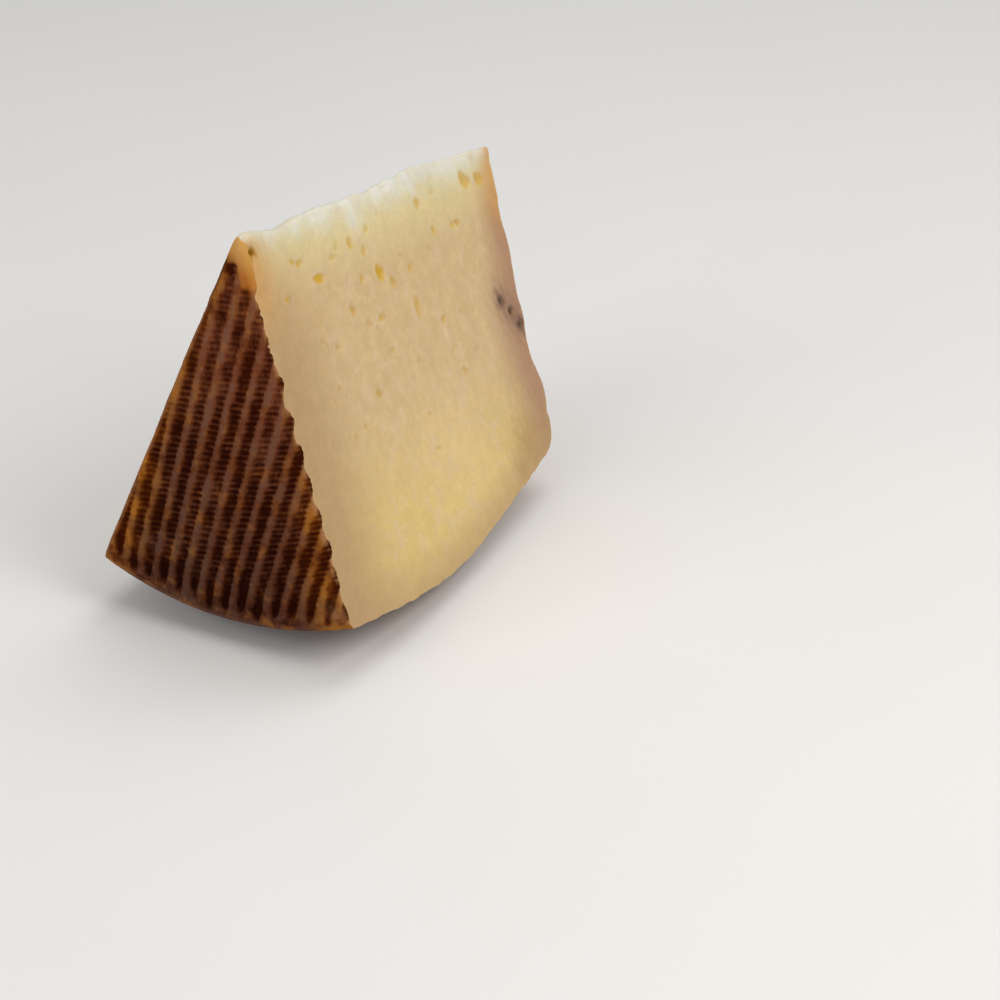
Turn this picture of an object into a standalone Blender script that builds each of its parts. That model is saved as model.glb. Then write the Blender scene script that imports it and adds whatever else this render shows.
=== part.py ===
"""A wedge of pressed uncooked cheese, cut from a wheel that was moulded in a plaited grass mat.

The wheel's own frame has its axis along Y, its front flat face at Y = 0 and its axis at Z = 0.
The wedge rests on the wheel's curved side with its ridge up. The side is bellied and slants in
towards the back, so the wheel's axis, and the ridge with it, drops towards the back.
Both flat faces carry the grooves of the mat and the curved side carries its plait.
Both cut faces are flat and hold small eyes. All sizes are in metres.
"""

import math

import bmesh
import bpy
import numpy as np

# Driving sizes of the wheel
WHEEL_RADIUS = 0.090
AXIS_DROP = math.radians(9.16)

# The curved side in section, from the front rim to the back rim: place along the axis, radius
SIDE_OUTLINE = (
    (0.0000, 0.0893),
    (0.0011, 0.0901),
    (0.0130, 0.0911),
    (0.0300, 0.0916),
    (0.0440, 0.0909),
    (0.0570, 0.0888),
    (0.0730, 0.0844),
    (0.0840, 0.0812),
    (0.0910, 0.0790),
    (0.0965, 0.0771),
    (0.1005, 0.0757),
    (0.1032, 0.0740),
    (0.1048, 0.0716),
    (0.1056, 0.0690),
)
# The back flat face in section, from its rim to the axis: radius, place along the axis
BACK_OUTLINE = (
    (0.0690, 0.1056),
    (0.0660, 0.1064),
    (0.0630, 0.1070),
    (0.0600, 0.1067),
    (0.0560, 0.1059),
    (0.0520, 0.1056),
    (0.0470, 0.1057),
    (0.0400, 0.1066),
    (0.0280, 0.1078),
    (0.0170, 0.1083),
    (0.0080, 0.1096),
    (0.0000, 0.1107),
)

# The two knife cuts, which meet above the wheel's axis in the ridge
LEFT_CUT = math.radians(20.8)
RIGHT_CUT = math.radians(22.1)
CUTS_MEET_X = -0.0012
CUTS_MEET_Z = 0.0020
# How blunt the ridge is along its length: place along the axis, rounding radius
RIDGE_BLUNTNESS = (
    (-0.010, 0.0012),
    (0.013, 0.0020),
    (0.030, 0.0015),
    (0.055, 0.0013),
    (0.080, 0.0008),
    (0.120, 0.0010),
)

# The mat's grooves on the flat faces
GROOVE_PITCH = 0.0043
GROOVE_WIDTH = 0.0027
GROOVE_DEPTH = 0.0009
GROOVE_FAN = 1.5
GROOVE_FAN_AT = -0.070
GROOVE_END_TAPER = 0.0030
GROOVE_RUN_OUT = 0.012
SHORTEST_GROOVE = 0.004
# A groove in section: across it in widths, into the face in depths
GROOVE_SECTION = ((-0.5, -1.2), (-0.46, 0.1), (-0.26, 1.0), (0.26, 1.0), (0.46, 0.1), (0.5, -1.2))
RIM_BAND = 0.0042
BARE_TIP = 0.0085
FRONT_LEAN = math.radians(11.5)
FRONT_RIB_AT = 0.00165
BACK_LEAN = math.radians(-8.0)
BACK_RIB_AT = 0.0006

# The plait on the curved side
BAND_WIDTH = 0.0086
BUNDLE_PITCH = 0.0080
BUNDLE_SLANT = 0.95
BUNDLE_DEPTH = 0.0009
PLAIT_FROM = 0.0035
PLAIT_TO = 0.0990
PLAIT_FADE = 0.005

# The eyes in the cut faces
EYE_SEED = 7
EYES_PER_FACE = 24
EYE_SPACING = 1.5
EYE_LENGTHS = (0.0018, 0.0040)
EYE_HEIGHTS = (0.0014, 0.0028)
EYES_ALONG = (0.007, 0.101)
EYES_DOWN = (0.006, 0.068)
# Above 1, it draws the eyes towards the ridge
EYE_CROWDING = 1.7
# An eye's depth as a share of its smaller size, and how uneven its wall is
EYE_DEPTH = 0.4
EYE_SINK = (0.02, 0.12)
EYE_UNEVENNESS = (0.88, 1.08)
FINE_EYE = 0.0030
# The eyes that stand out on the right cut: along the axis, down from the ridge, length, height
MAIN_EYES = (
    (0.0165, 0.0095, 0.0060, 0.0030),
    (0.0235, 0.0150, 0.0050, 0.0022),
    (0.0390, 0.0105, 0.0036, 0.0028),
    (0.0480, 0.0188, 0.0034, 0.0046),
    (0.0600, 0.0290, 0.0020, 0.0060),
    (0.0860, 0.0145, 0.0042, 0.0026),
    (0.0950, 0.0060, 0.0060, 0.0034),
    (0.0235, 0.0310, 0.0030, 0.0022),
    (0.0735, 0.0480, 0.0042, 0.0022),
    (0.0530, 0.0623, 0.0042, 0.0018),
    (0.1000, 0.0360, 0.0028, 0.0024),
    (0.1028, 0.0408, 0.0024, 0.0026),
)

# Where the wedge has pressed flat under its own weight
REST_FLATTENING = 0.0009

# Steps of the surfaces
COLUMN_STEP = 0.0020
ROWS_PER_BAND = 4
BACK_ROWS = 9
BLOCK_HALF_WIDTH = 0.039
BLOCK_TOP = 0.0070
RIDGE_STEP = 0.0075
RIDGE_ARC_POINTS = 6
CUT_MARGIN = 0.008
COURSE_SAMPLES = 240
GROOVE_STATIONS = 10
LEAST_FULLNESS = 0.05
RESTING_HALF_WIDTH = 0.1
RESTING_DEPTH = 0.02

RIND_COLOUR = (0.13, 0.055, 0.028)
PASTE_COLOUR = (0.70, 0.52, 0.27)


def clear_scene():
    for obj in list(bpy.data.objects):
        bpy.data.objects.remove(obj, do_unlink=True)


def make_material(name, colour, roughness):
    material = bpy.data.materials.new(name)
    material.use_nodes = True
    shader = material.node_tree.nodes["Principled BSDF"]
    shader.inputs["Base Color"].default_value = (*colour, 1.0)
    shader.inputs["Roughness"].default_value = roughness
    shader.inputs["Metallic"].default_value = 0.0
    return material


def make_object(name, points, faces, material):
    """A mesh object with its faces turned outwards."""
    mesh = bpy.data.meshes.new(name)
    mesh.from_pydata([tuple(p) for p in points], [], faces)
    mesh.materials.append(material)
    shell = bmesh.new()
    shell.from_mesh(mesh)
    bmesh.ops.recalc_face_normals(shell, faces=shell.faces)
    shell.to_mesh(mesh)
    shell.free()
    obj = bpy.data.objects.new(name, mesh)
    bpy.context.scene.collection.objects.link(obj)
    return obj


def make_cutter(name, points, faces, material):
    obj = make_object(name, points, faces, material)
    obj.hide_render = True
    obj.display_type = "WIRE"
    return obj


def smooth_through(outline, at):
    """The cubic that passes through the outline's points (Catmull-Rom), read at each place `at`.

    The first number of each point rises or falls along the whole outline.
    """
    points = np.array(outline if outline[0][0] < outline[-1][0] else outline[::-1])
    known, values = points[:, 0], points[:, 1]
    slopes = np.gradient(values, known)
    span = np.clip(np.searchsorted(known, at) - 1, 0, len(known) - 2)
    width = known[span + 1] - known[span]
    t = np.clip((at - known[span]) / width, 0.0, 1.0)
    return (
        (2 * t**3 - 3 * t**2 + 1) * values[span]
        + (t**3 - 2 * t**2 + t) * width * slopes[span]
        + (-2 * t**3 + 3 * t**2) * values[span + 1]
        + (t**3 - t**2) * width * slopes[span + 1]
    )


def back_face(x, z):
    """How far along the axis the back flat face lies over the point x, z."""
    return smooth_through(BACK_OUTLINE, np.hypot(x, z))


def front_face(x, z):
    return np.zeros_like(x)


def side_section():
    """Places along the axis and radii of the curved side, in even steps of its own length."""
    steps = np.linspace(0.0, 1.0, len(SIDE_OUTLINE))
    fine = np.linspace(0.0, 1.0, 400)
    outline = np.array(SIDE_OUTLINE)
    along = smooth_through(np.column_stack([steps, outline[:, 0]]), fine)
    radius = smooth_through(np.column_stack([steps, outline[:, 1]]), fine)
    length = np.concatenate([[0.0], np.cumsum(np.hypot(np.diff(along), np.diff(radius)))])
    step = BAND_WIDTH / ROWS_PER_BAND
    at = np.append(np.arange(0.0, length[-1] - step / 2, step), length[-1])
    return np.interp(at, length, along), np.interp(at, length, radius), at


def plait(around, across, along):
    """Depth of the plait: bundles of stalks slant one way in one band and the other way in the next."""
    band = across / BAND_WIDTH
    number = np.floor(band)
    inside = band - number
    slant = np.where(number % 2 == 0, 1.0, -1.0)
    turn = around / BUNDLE_PITCH + slant * (inside - 0.5) * BUNDLE_SLANT
    bundle = 0.5 - 0.5 * np.cos(2 * math.pi * turn)
    valley = np.sin(math.pi * inside) ** 0.7
    fade = np.clip((along - PLAIT_FROM) / PLAIT_FADE, 0, 1) * np.clip((PLAIT_TO - along) / PLAIT_FADE, 0, 1)
    return -BUNDLE_DEPTH * fade * (1.0 - bundle * valley)


def make_wheel_block(material):
    """A block of the whole wheel that is wider than the wedge.

    Each column is one slice across the wheel at a fixed X. It runs down the front face, along
    the curved side at the depth where the side's radius meets that X, and up the back face.
    On the side each square is split along the slant of its band's bundles.
    """
    columns = np.linspace(
        -BLOCK_HALF_WIDTH, BLOCK_HALF_WIDTH, round(2 * BLOCK_HALF_WIDTH / COLUMN_STEP) + 1
    )
    along, radius, across = side_section()
    x = np.repeat(columns[:, None], len(along), axis=1)
    around = np.arcsin(x / radius) * WHEEL_RADIUS
    height = -np.sqrt((radius + plait(around, across, along)) ** 2 - x**2)
    side = np.stack([x, np.broadcast_to(along, x.shape), height], axis=-1)

    top = np.stack([columns, np.zeros_like(columns), np.full_like(columns, BLOCK_TOP)], axis=-1)
    up = np.linspace(0.0, 1.0, BACK_ROWS + 1)[1:]
    x = np.repeat(columns[:, None], BACK_ROWS, axis=1)
    z = side[:, -1:, 2] * (1 - up) + BLOCK_TOP * up
    back = np.stack([x, back_face(x, z), z], axis=-1)

    slices = np.concatenate([top[:, None], side, back], axis=1)
    count, ring = slices.shape[:2]
    faces = []
    for column in range(count - 1):
        for row in range(ring):
            a = column * ring + row
            b = column * ring + (row + 1) % ring
            band = (row - 1) // ROWS_PER_BAND
            if not 0 < row < len(along):
                faces.append((a, b, b + ring, a + ring))
            elif band % 2:
                faces += [(a, b, b + ring), (a, b + ring, a + ring)]
            else:
                faces += [(a, b, a + ring), (b, b + ring, a + ring)]
    faces.append(tuple(range(ring)))
    faces.append(tuple(range((count - 1) * ring, count * ring)))
    return make_object("cheese_wedge", slices.reshape(-1, 3), faces, material)


def make_knife_cuts(material):
    """The space between the two knife cuts: flat on both sides, rounded along the ridge."""
    wheel_height = BACK_OUTLINE[-1][1]
    along = np.arange(-CUT_MARGIN, wheel_height + 2 * CUT_MARGIN, RIDGE_STEP)
    radius = smooth_through(RIDGE_BLUNTNESS, along)
    half = (LEFT_CUT + RIGHT_CUT) / 2
    middle = (RIGHT_CUT - LEFT_CUT) / 2
    centre_x = CUTS_MEET_X + radius / math.sin(half) * math.sin(middle)
    centre_z = CUTS_MEET_Z - radius / math.sin(half) * math.cos(middle)
    turn = np.linspace(math.pi - LEFT_CUT, RIGHT_CUT, RIDGE_ARC_POINTS + 2)
    arc_x = centre_x[:, None] + radius[:, None] * np.cos(turn)
    arc_z = centre_z[:, None] + radius[:, None] * np.sin(turn)
    arc = np.stack([arc_x, np.repeat(along[:, None], len(turn), axis=1), arc_z], axis=-1)

    depth = WHEEL_RADIUS + 3 * CUT_MARGIN
    left_foot = (CUTS_MEET_X - depth * math.tan(LEFT_CUT), CUTS_MEET_Z - depth)
    right_foot = (CUTS_MEET_X + depth * math.tan(RIGHT_CUT), CUTS_MEET_Z - depth)
    feet = [(foot[0], end, foot[1]) for end in (along[0], along[-1]) for foot in (left_foot, right_foot)]

    rows, count = arc.shape[:2]
    faces = []
    for row in range(rows - 1):
        for k in range(count - 1):
            a = row * count + k
            faces.append((a, a + 1, a + 1 + count, a + count))
    left_front, right_front, left_back, right_back = range(rows * count, rows * count + 4)
    last = (rows - 1) * count
    faces.append((left_back, left_front, *(row * count for row in range(rows))))
    faces.append((right_back, right_front, *(row * count + count - 1 for row in range(rows))))
    faces.append((left_front, *range(count), right_front))
    faces.append((left_back, *range(last, last + count), right_back))
    faces.append((left_front, right_front, right_back, left_back))
    return make_cutter("knife_cuts", [*arc.reshape(-1, 3), *feet], faces, material)


def between_cuts(x, z):
    """Whether the point x, z lies in the wedge's angle."""
    depth = CUTS_MEET_Z - z
    return (x > CUTS_MEET_X - depth * math.tan(LEFT_CUT)) & (x < CUTS_MEET_X + depth * math.tan(RIGHT_CUT))


def groove_course(s, lean):
    """Points down the middle of one groove, at the distance s from the axis across the mat.

    It runs from short of the rim up to the cut that it meets and out through it, or to the
    bare tip. It is empty where the groove misses the wedge.
    """

    def point(w):
        fanned = s * (1 + GROOVE_FAN * (w - GROOVE_FAN_AT))
        return fanned * math.cos(lean) + w * math.sin(lean), w * math.cos(lean) - fanned * math.sin(lean)

    rim_end = -math.sqrt((WHEEL_RADIUS - RIM_BAND) ** 2 - s**2)
    w = np.linspace(rim_end, 0.0, COURSE_SAMPLES)
    x, z = point(w)
    inside = w[between_cuts(x, z) & (z < -BARE_TIP)]
    if not len(inside) or np.ptp(inside) < SHORTEST_GROOVE:
        return x[:0], z[:0]
    meets_cut = point(inside[-1])[1] < -BARE_TIP - GROOVE_END_TAPER
    high = inside[-1] + (GROOVE_RUN_OUT if meets_cut else 0.0)
    return point(np.linspace(inside[0], min(high, 0.0), GROOVE_STATIONS))


def groove_fullness(x, z):
    """How full the groove is at each station: its ends are rounded over the taper's length."""
    to_first = np.hypot(x - x[0], z - z[0])
    to_last = np.hypot(x - x[-1], z - z[-1])
    near_end = np.minimum(to_first, to_last) / GROOVE_END_TAPER
    return np.sqrt(np.clip(near_end, LEAST_FULLNESS, 1.0))


def make_grooves(name, face, outward, lean, rib_at, material):
    """All the grooves of one flat face, as long bars with rounded ends that follow the face."""
    points, faces = [], []
    sides = len(GROOVE_SECTION)
    most = math.ceil(BLOCK_HALF_WIDTH / GROOVE_PITCH)
    for number in range(-most, most + 1):
        x, z = groove_course(rib_at + GROOVE_PITCH * (number + 0.5), lean)
        if not len(x):
            continue
        start = len(points)
        for x_mid, z_mid, y_face, full in zip(x, z, face(x, z), groove_fullness(x, z)):
            for across, deep in GROOVE_SECTION:
                depth = GROOVE_DEPTH * (deep * full if deep > 0 else deep)
                width = across * GROOVE_WIDTH * full
                points.append(
                    (x_mid + width * math.cos(lean), y_face - outward * depth, z_mid - width * math.sin(lean))
                )
        for a in range(start, len(points) - sides, sides):
            for j in range(sides):
                k = (j + 1) % sides
                faces.append((a + j, a + k, a + k + sides, a + j + sides))
        faces.append(tuple(range(start, start + sides)))
        faces.append(tuple(range(len(points) - sides, len(points))))
    return make_cutter(name, points, faces, material)


def random_eyes(generator, taken):
    """Eyes in places drawn at random, closer together near the ridge, that keep clear of each other."""
    eyes = list(taken)
    while len(eyes) < EYES_PER_FACE:
        length = generator.uniform(*EYE_LENGTHS)
        height = generator.uniform(*EYE_HEIGHTS)
        along = generator.uniform(*EYES_ALONG)
        down = EYES_DOWN[0] + (EYES_DOWN[1] - EYES_DOWN[0]) * generator.random() ** EYE_CROWDING
        clear = all(
            math.hypot(along - a, down - d) > EYE_SPACING * (max(length, height) + max(n, h)) / 2
            for a, d, n, h in eyes
        )
        if clear:
            eyes.append((along, down, length, height))
    return eyes


def make_eyes(name, side, eyes, generator, material):
    """Hollows with uneven walls, centred in the plane of one cut. side is -1 left and 1 right."""
    angle = LEFT_CUT if side < 0 else RIGHT_CUT
    down_cut = np.array((side * math.sin(angle), 0.0, -math.cos(angle)))
    into_cut = np.array((-side * math.cos(angle), 0.0, -math.sin(angle)))
    ridge = np.array((CUTS_MEET_X, 0.0, CUTS_MEET_Z))
    hollows = bmesh.new()
    for along, down, length, height in eyes:
        small = min(length, height)
        made = bmesh.ops.create_icosphere(
            hollows, subdivisions=2 if max(length, height) > FINE_EYE else 1, radius=1.0
        )
        centre = ridge + (down + CUTS_MEET_Z) * down_cut + np.array((0.0, along, 0.0))
        centre += generator.uniform(*EYE_SINK) * small * into_cut
        for vertex in made["verts"]:
            deep, wide, low = np.array(vertex.co) * generator.uniform(*EYE_UNEVENNESS)
            place = centre + EYE_DEPTH * small * deep * into_cut + 0.5 * height * low * down_cut
            vertex.co = place + np.array((0.0, 0.5 * length * wide, 0.0))
    mesh = bpy.data.meshes.new(name)
    bmesh.ops.recalc_face_normals(hollows, faces=hollows.faces)
    hollows.to_mesh(mesh)
    hollows.free()
    mesh.materials.append(material)
    obj = bpy.data.objects.new(name, mesh)
    bpy.context.scene.collection.objects.link(obj)
    obj.hide_render = True
    obj.display_type = "WIRE"
    return obj


def add_boolean(obj, other, operation):
    modifier = obj.modifiers.new(other.name, "BOOLEAN")
    modifier.object = other
    modifier.operation = operation
    modifier.solver = "EXACT"
    modifier.material_mode = "TRANSFER"


def world_box(obj):
    """Lowest and highest corner of the object as its modifiers leave it."""
    bpy.context.view_layer.update()
    shaped = obj.evaluated_get(bpy.context.evaluated_depsgraph_get())
    mesh = shaped.to_mesh()
    corners = np.empty(3 * len(mesh.vertices))
    mesh.vertices.foreach_get("co", corners)
    shaped.to_mesh_clear()
    world = np.array(shaped.matrix_world)
    corners = corners.reshape(-1, 3) @ world[:3, :3].T + world[:3, 3]
    return corners.min(axis=0), corners.max(axis=0)


def make_resting_surface(material):
    """A block whose top is the surface that the wedge lies on."""
    half = RESTING_HALF_WIDTH
    plan = ((-half, -half), (half, -half), (half, half), (-half, half))
    corners = [(x, y, z) for z in (-RESTING_DEPTH, 0.0) for x, y in plan]
    faces = [(0, 1, 2, 3), (4, 5, 6, 7), (0, 1, 5, 4), (1, 2, 6, 5), (2, 3, 7, 6), (3, 0, 4, 7)]
    return make_cutter("resting_surface", corners, faces, material)


def main():
    clear_scene()
    rind = make_material("moulded_rind", RIND_COLOUR, 0.55)
    paste = make_material("pressed_paste", PASTE_COLOUR, 0.42)
    generator = np.random.default_rng(EYE_SEED)

    wheel = bpy.data.objects.new("wheel_frame", None)
    bpy.context.scene.collection.objects.link(wheel)
    wheel.rotation_euler = (-AXIS_DROP, 0.0, 0.0)

    wedge = make_wheel_block(rind)
    right_eyes = random_eyes(generator, MAIN_EYES)
    left_eyes = random_eyes(generator, ())
    cutters = (
        (make_knife_cuts(paste), "INTERSECT"),
        (make_grooves("front_grooves", front_face, -1, FRONT_LEAN, FRONT_RIB_AT, rind), "DIFFERENCE"),
        (make_grooves("back_grooves", back_face, 1, BACK_LEAN, BACK_RIB_AT, rind), "DIFFERENCE"),
        (make_eyes("right_eyes", 1, right_eyes, generator, paste), "DIFFERENCE"),
        (make_eyes("left_eyes", -1, left_eyes, generator, paste), "DIFFERENCE"),
    )
    wedge.parent = wheel
    for cutter, operation in cutters:
        cutter.parent = wheel
        add_boolean(wedge, cutter, operation)

    low, high = world_box(wedge)
    wheel.location = (
        -(low[0] + high[0]) / 2,
        -(low[1] + high[1]) / 2,
        -low[2] - REST_FLATTENING,
    )
    add_boolean(wedge, make_resting_surface(rind), "DIFFERENCE")


main()
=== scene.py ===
"""A wedge of pressed uncooked cheese: its looks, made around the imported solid.

The wedge is one closed mesh. A block of the wheel with the plait on its curved side, a block with
the mat's grooves on its front face and the space between two knife cuts are worked out as grids,
and what all three share is the wedge. Eyes are hollowed out of both cuts, and its underside is
pressed flat where it rests. Sizes are in metres.

The wheel's own frame has its axis along Y, its front face at Y = 0 and its axis at Z = 0.
"""

import math
from collections import namedtuple
from functools import partial
from types import SimpleNamespace

import bmesh
import bpy
import numpy as np
from bpy.props import FloatProperty, FloatVectorProperty, IntProperty, PointerProperty
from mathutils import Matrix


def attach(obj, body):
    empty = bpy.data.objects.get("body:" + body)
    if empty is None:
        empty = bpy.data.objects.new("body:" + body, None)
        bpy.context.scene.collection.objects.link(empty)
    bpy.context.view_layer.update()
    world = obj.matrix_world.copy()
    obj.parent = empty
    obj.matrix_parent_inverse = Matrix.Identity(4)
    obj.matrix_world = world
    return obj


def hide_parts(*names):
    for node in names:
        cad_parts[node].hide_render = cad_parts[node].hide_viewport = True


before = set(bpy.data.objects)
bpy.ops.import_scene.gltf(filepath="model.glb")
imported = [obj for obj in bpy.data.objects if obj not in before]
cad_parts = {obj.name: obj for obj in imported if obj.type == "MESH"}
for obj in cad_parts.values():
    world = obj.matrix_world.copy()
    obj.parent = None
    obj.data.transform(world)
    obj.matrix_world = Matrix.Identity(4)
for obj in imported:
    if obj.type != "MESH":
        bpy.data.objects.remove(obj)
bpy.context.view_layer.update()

bl_info = {
    "name": "Cheese wedge",
    "version": (1, 0, 0),
    "blender": (4, 5, 0),
    "location": "3D View > Sidebar > Cheese",
    "description": "Makes a wedge of pressed uncooked cheese and a plain stage for it",
    "category": "Add Mesh",
}

MM = 0.001
PIECE = "wedge_of_cheese"

# The curved side in section, from the front rim to the back rim: place along the axis, radius
SIDE_OUTLINE = (
    (-0.0010, 0.0880),
    (0.0000, 0.0895),
    (0.0012, 0.0902),
    (0.0130, 0.0911),
    (0.0300, 0.0916),
    (0.0440, 0.0909),
    (0.0570, 0.0888),
    (0.0730, 0.0844),
    (0.0840, 0.0812),
    (0.0910, 0.0790),
    (0.0965, 0.0771),
    (0.1005, 0.0757),
    (0.1032, 0.0740),
    (0.1048, 0.0716),
    (0.1056, 0.0690),
)
# The back flat face in section, from its rim to the axis: radius, place along the axis
BACK_OUTLINE = (
    (0.0690, 0.1056),
    (0.0660, 0.1064),
    (0.0630, 0.1070),
    (0.0600, 0.1067),
    (0.0560, 0.1059),
    (0.0520, 0.1056),
    (0.0470, 0.1057),
    (0.0400, 0.1066),
    (0.0280, 0.1078),
    (0.0170, 0.1083),
    (0.0080, 0.1096),
    (0.0000, 0.1107),
)
# How blunt the ridge is: place along the axis, rounding radius
RIDGE_BLUNTNESS = (
    (-0.0100, 0.00130),
    (0.0000, 0.00140),
    (0.0050, 0.00150),
    (0.0100, 0.00195),
    (0.0145, 0.00225),
    (0.0190, 0.00195),
    (0.0240, 0.00155),
    (0.0360, 0.00143),
    (0.0425, 0.00156),
    (0.0475, 0.00133),
    (0.0540, 0.00156),
    (0.0585, 0.00110),
    (0.0625, 0.00090),
    (0.0660, 0.00100),
    (0.0690, 0.00062),
    (0.0830, 0.00062),
    (0.0920, 0.00070),
    (0.1000, 0.00080),
    (0.1070, 0.00100),
    (0.1200, 0.00130),
)
# Cracks that run down from the ridge of the right cut, in millimetres: place, how far they run, slant
RIDGE_CRACKS = ((40.6, 9.0, 0.42), (68.4, 8.0, 0.36))
# The eyes that show on the right cut, in millimetres: along the axis, down from it, length, height, turn in
# degrees, and how deep the eye is as a share of the deepest
RIGHT_EYES = (
    (1.6, 4.8, 2.4, 2.2, 0, 1.0),
    (15.6, 9.9, 2.9, 1.6, 25, 0.8),
    (18.2, 10.7, 3.4, 2.0, -6, 0.9),
    (24.1, 15.4, 6.4, 2.4, 5, 1.0),
    (10.3, 17.3, 2.8, 2.0, 10, 0.7),
    (31.2, 12.1, 2.6, 1.4, -8, 0.5),
    (33.4, 10.3, 1.5, 2.8, 32, 0.5),
    (39.5, 10.4, 2.8, 3.2, -14, 0.7),
    (47.5, 8.6, 1.6, 2.9, 20, 0.6),
    (40.8, 19.0, 2.1, 2.5, -16, 0.8),
    (31.0, 18.5, 3.0, 1.4, 5, 0.3),
    (49.0, 19.2, 3.4, 5.0, -10, 1.0),
    (53.3, 22.3, 2.8, 3.0, -12, 0.8),
    (33.7, 25.1, 2.1, 2.8, -14, 0.9),
    (58.9, 17.3, 1.6, 1.4, 0, 0.5),
    (62.0, 20.7, 3.6, 2.0, -20, 0.8),
    (60.6, 29.9, 2.6, 6.4, 4, 0.9),
    (72.0, 7.0, 2.8, 3.0, -15, 0.6),
    (79.8, 5.7, 4.6, 2.0, 4, 0.4),
    (76.0, 14.5, 2.2, 2.6, -10, 0.7),
    (85.0, 14.9, 2.8, 1.9, 8, 0.8),
    (87.6, 14.8, 2.6, 2.2, -8, 0.9),
    (96.0, 5.6, 5.6, 4.4, 8, 0.8),
    (102.6, 6.5, 4.4, 4.2, 20, 0.6),
    (38.4, 29.2, 2.4, 1.6, -10, 0.5),
    (44.3, 29.0, 2.5, 2.3, -10, 0.8),
    (41.5, 31.1, 1.7, 1.6, 0, 0.5),
    (23.9, 31.3, 1.9, 1.5, 0, 0.8),
    (70.0, 35.1, 3.2, 2.0, -28, 0.9),
    (78.8, 35.0, 1.9, 2.6, -12, 0.5),
    (44.7, 37.0, 3.4, 1.6, 4, 0.8),
    (20.1, 40.1, 1.6, 2.0, -12, 0.9),
    (17.3, 42.8, 1.0, 1.5, -20, 0.6),
    (35.0, 44.9, 3.0, 2.2, 24, 0.9),
    (71.4, 42.6, 2.6, 1.6, 8, 0.6),
    (73.6, 48.6, 3.4, 1.8, 20, 0.9),
    (80.3, 45.0, 2.6, 1.1, 0, 0.4),
    (26.3, 50.5, 2.2, 1.4, -20, 0.9),
    (21.6, 51.9, 2.6, 1.8, 10, 0.7),
    (53.7, 54.4, 1.8, 1.3, 0, 0.7),
    (53.2, 62.6, 3.6, 1.3, 12, 0.9),
    (88.2, 21.3, 1.2, 1.6, 0, 0.5),
    (97.8, 36.4, 3.4, 1.9, 15, 0.8),
    (101.3, 39.9, 2.6, 2.8, 30, 0.8),
    (103.8, 43.8, 3.4, 2.2, 10, 0.8),
)
# Dark spots of mould by the back rind, in millimetres: along, down, radius
MOULD_SPOTS = ((97.8, 36.4, 1.5), (101.3, 39.9, 1.1), (103.8, 43.8, 1.6))
# The brown stain round them, and an olive patch low by the back
STAINS = ((98.4, 36.8, 3.6), (101.6, 40.6, 4.4), (104.0, 43.6, 3.4))
OLIVE_PATCHES = ((93.0, 72.0, 7.0), (88.0, 76.5, 5.0))
# Dark spots on the front rind: across, up and radius in millimetres
RIND_SPOTS = ((27.0, -83.5, 0.9), (-3.0, -8.6, 1.2))
# The dark pit at the tip, and the patches that have dried white under the ridge
TIP_PITS = ((1.6, 4.8, 1.35),)
DRY_PATCHES = (
    (43.2, 5.4, 2.8),
    (20.0, 3.0, 1.9),
    (56.0, 1.2, 3.4),
    (63.0, 1.0, 3.6),
    (10.0, 0.6, 3.0),
    (30.0, 0.8, 4.2),
    (90.0, 0.8, 3.6),
)
# The eyes that are golden all through, in millimetres: along, down, radius
GOLDEN_EYES = ((24.1, 15.4, 5.0), (49.0, 19.2, 4.2), (17.0, 10.3, 3.0))
# Where the paste of the right cut is lighter, in millimetres: along, down, radius
LIGHT_PATCHES = ((60.0, 67.0, 18.0),)
# A pale patch on the front rind by its lower right corner, in millimetres: across, up, radius
CORNER_PATCHES = ((29.2, -80.8, 2.6),)
# Orange blotches on the bare tip of the front face, in millimetres: across, up, radius
TIP_BLOTCHES = ((1.5, -9.8, 1.9), (2.3, -11.6, 2.0))

# Where the crests of the front face lie along the axis, and where the wheel's block starts
FRONT_AT = -0.00040
BLOCK_FRONT = -0.0010
# How far the front face has fallen back at the rim
RIM_FALL = 0.0009

# How far the blocks reach past the wedge
BLOCK_HALF_WIDTH = 0.039
BLOCK_TOP = 0.0070
CUT_MARGIN = 0.008
CUT_DEPTH = 0.114
BEHIND_WHEEL = 0.130
# How fine the wheel's block is: its slices, the step down its side, and the rows up its back
BLOCK_SLICES = 143
SIDE_STEP = 0.00055
BACK_ROWS = 140
# The front grid: points for each rib and each cross thread, and where it starts and ends, in
# points across and in threads along
RIB_STEPS = 10
THREAD_STEPS = 5
GRID_ACROSS = (-51, 138)
GRID_ALONG = (-96, 14)
# The cuts are finer up to this place along the axis, and their steps grow down the cut
FINE_END = 0.0044
FIRST_STEP = 0.0005
LONGEST_STEP = 0.0017
# How far the broken front edge reaches inwards, and the crumbled ridge downwards
CHIP_REACH = 0.0014
CRUMBLED_REACH = 0.0035


def srgb(code):
    """A colour's sRGB hex code as linear red, green and blue."""
    parts = np.array([int(code[k : k + 2], 16) / 255 for k in (1, 3, 5)])
    linear = np.where(parts <= 0.04045, parts / 12.92, ((parts + 0.055) / 1.055) ** 2.4)
    return tuple(float(c) for c in linear)


def length(name, description, default):
    return FloatProperty(name=name, description=description, default=default, unit="LENGTH", precision=4)


def angle(name, description, degrees):
    return FloatProperty(
        name=name, description=description, default=math.radians(degrees), subtype="ANGLE"
    )


def position(name, description, default):
    return FloatVectorProperty(
        name=name, description=description, default=default, subtype="TRANSLATION"
    )


def colour(name, description, code):
    return FloatVectorProperty(
        name=name, description=description, default=srgb(code), subtype="COLOR", min=0.0, max=1.0
    )


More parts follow.
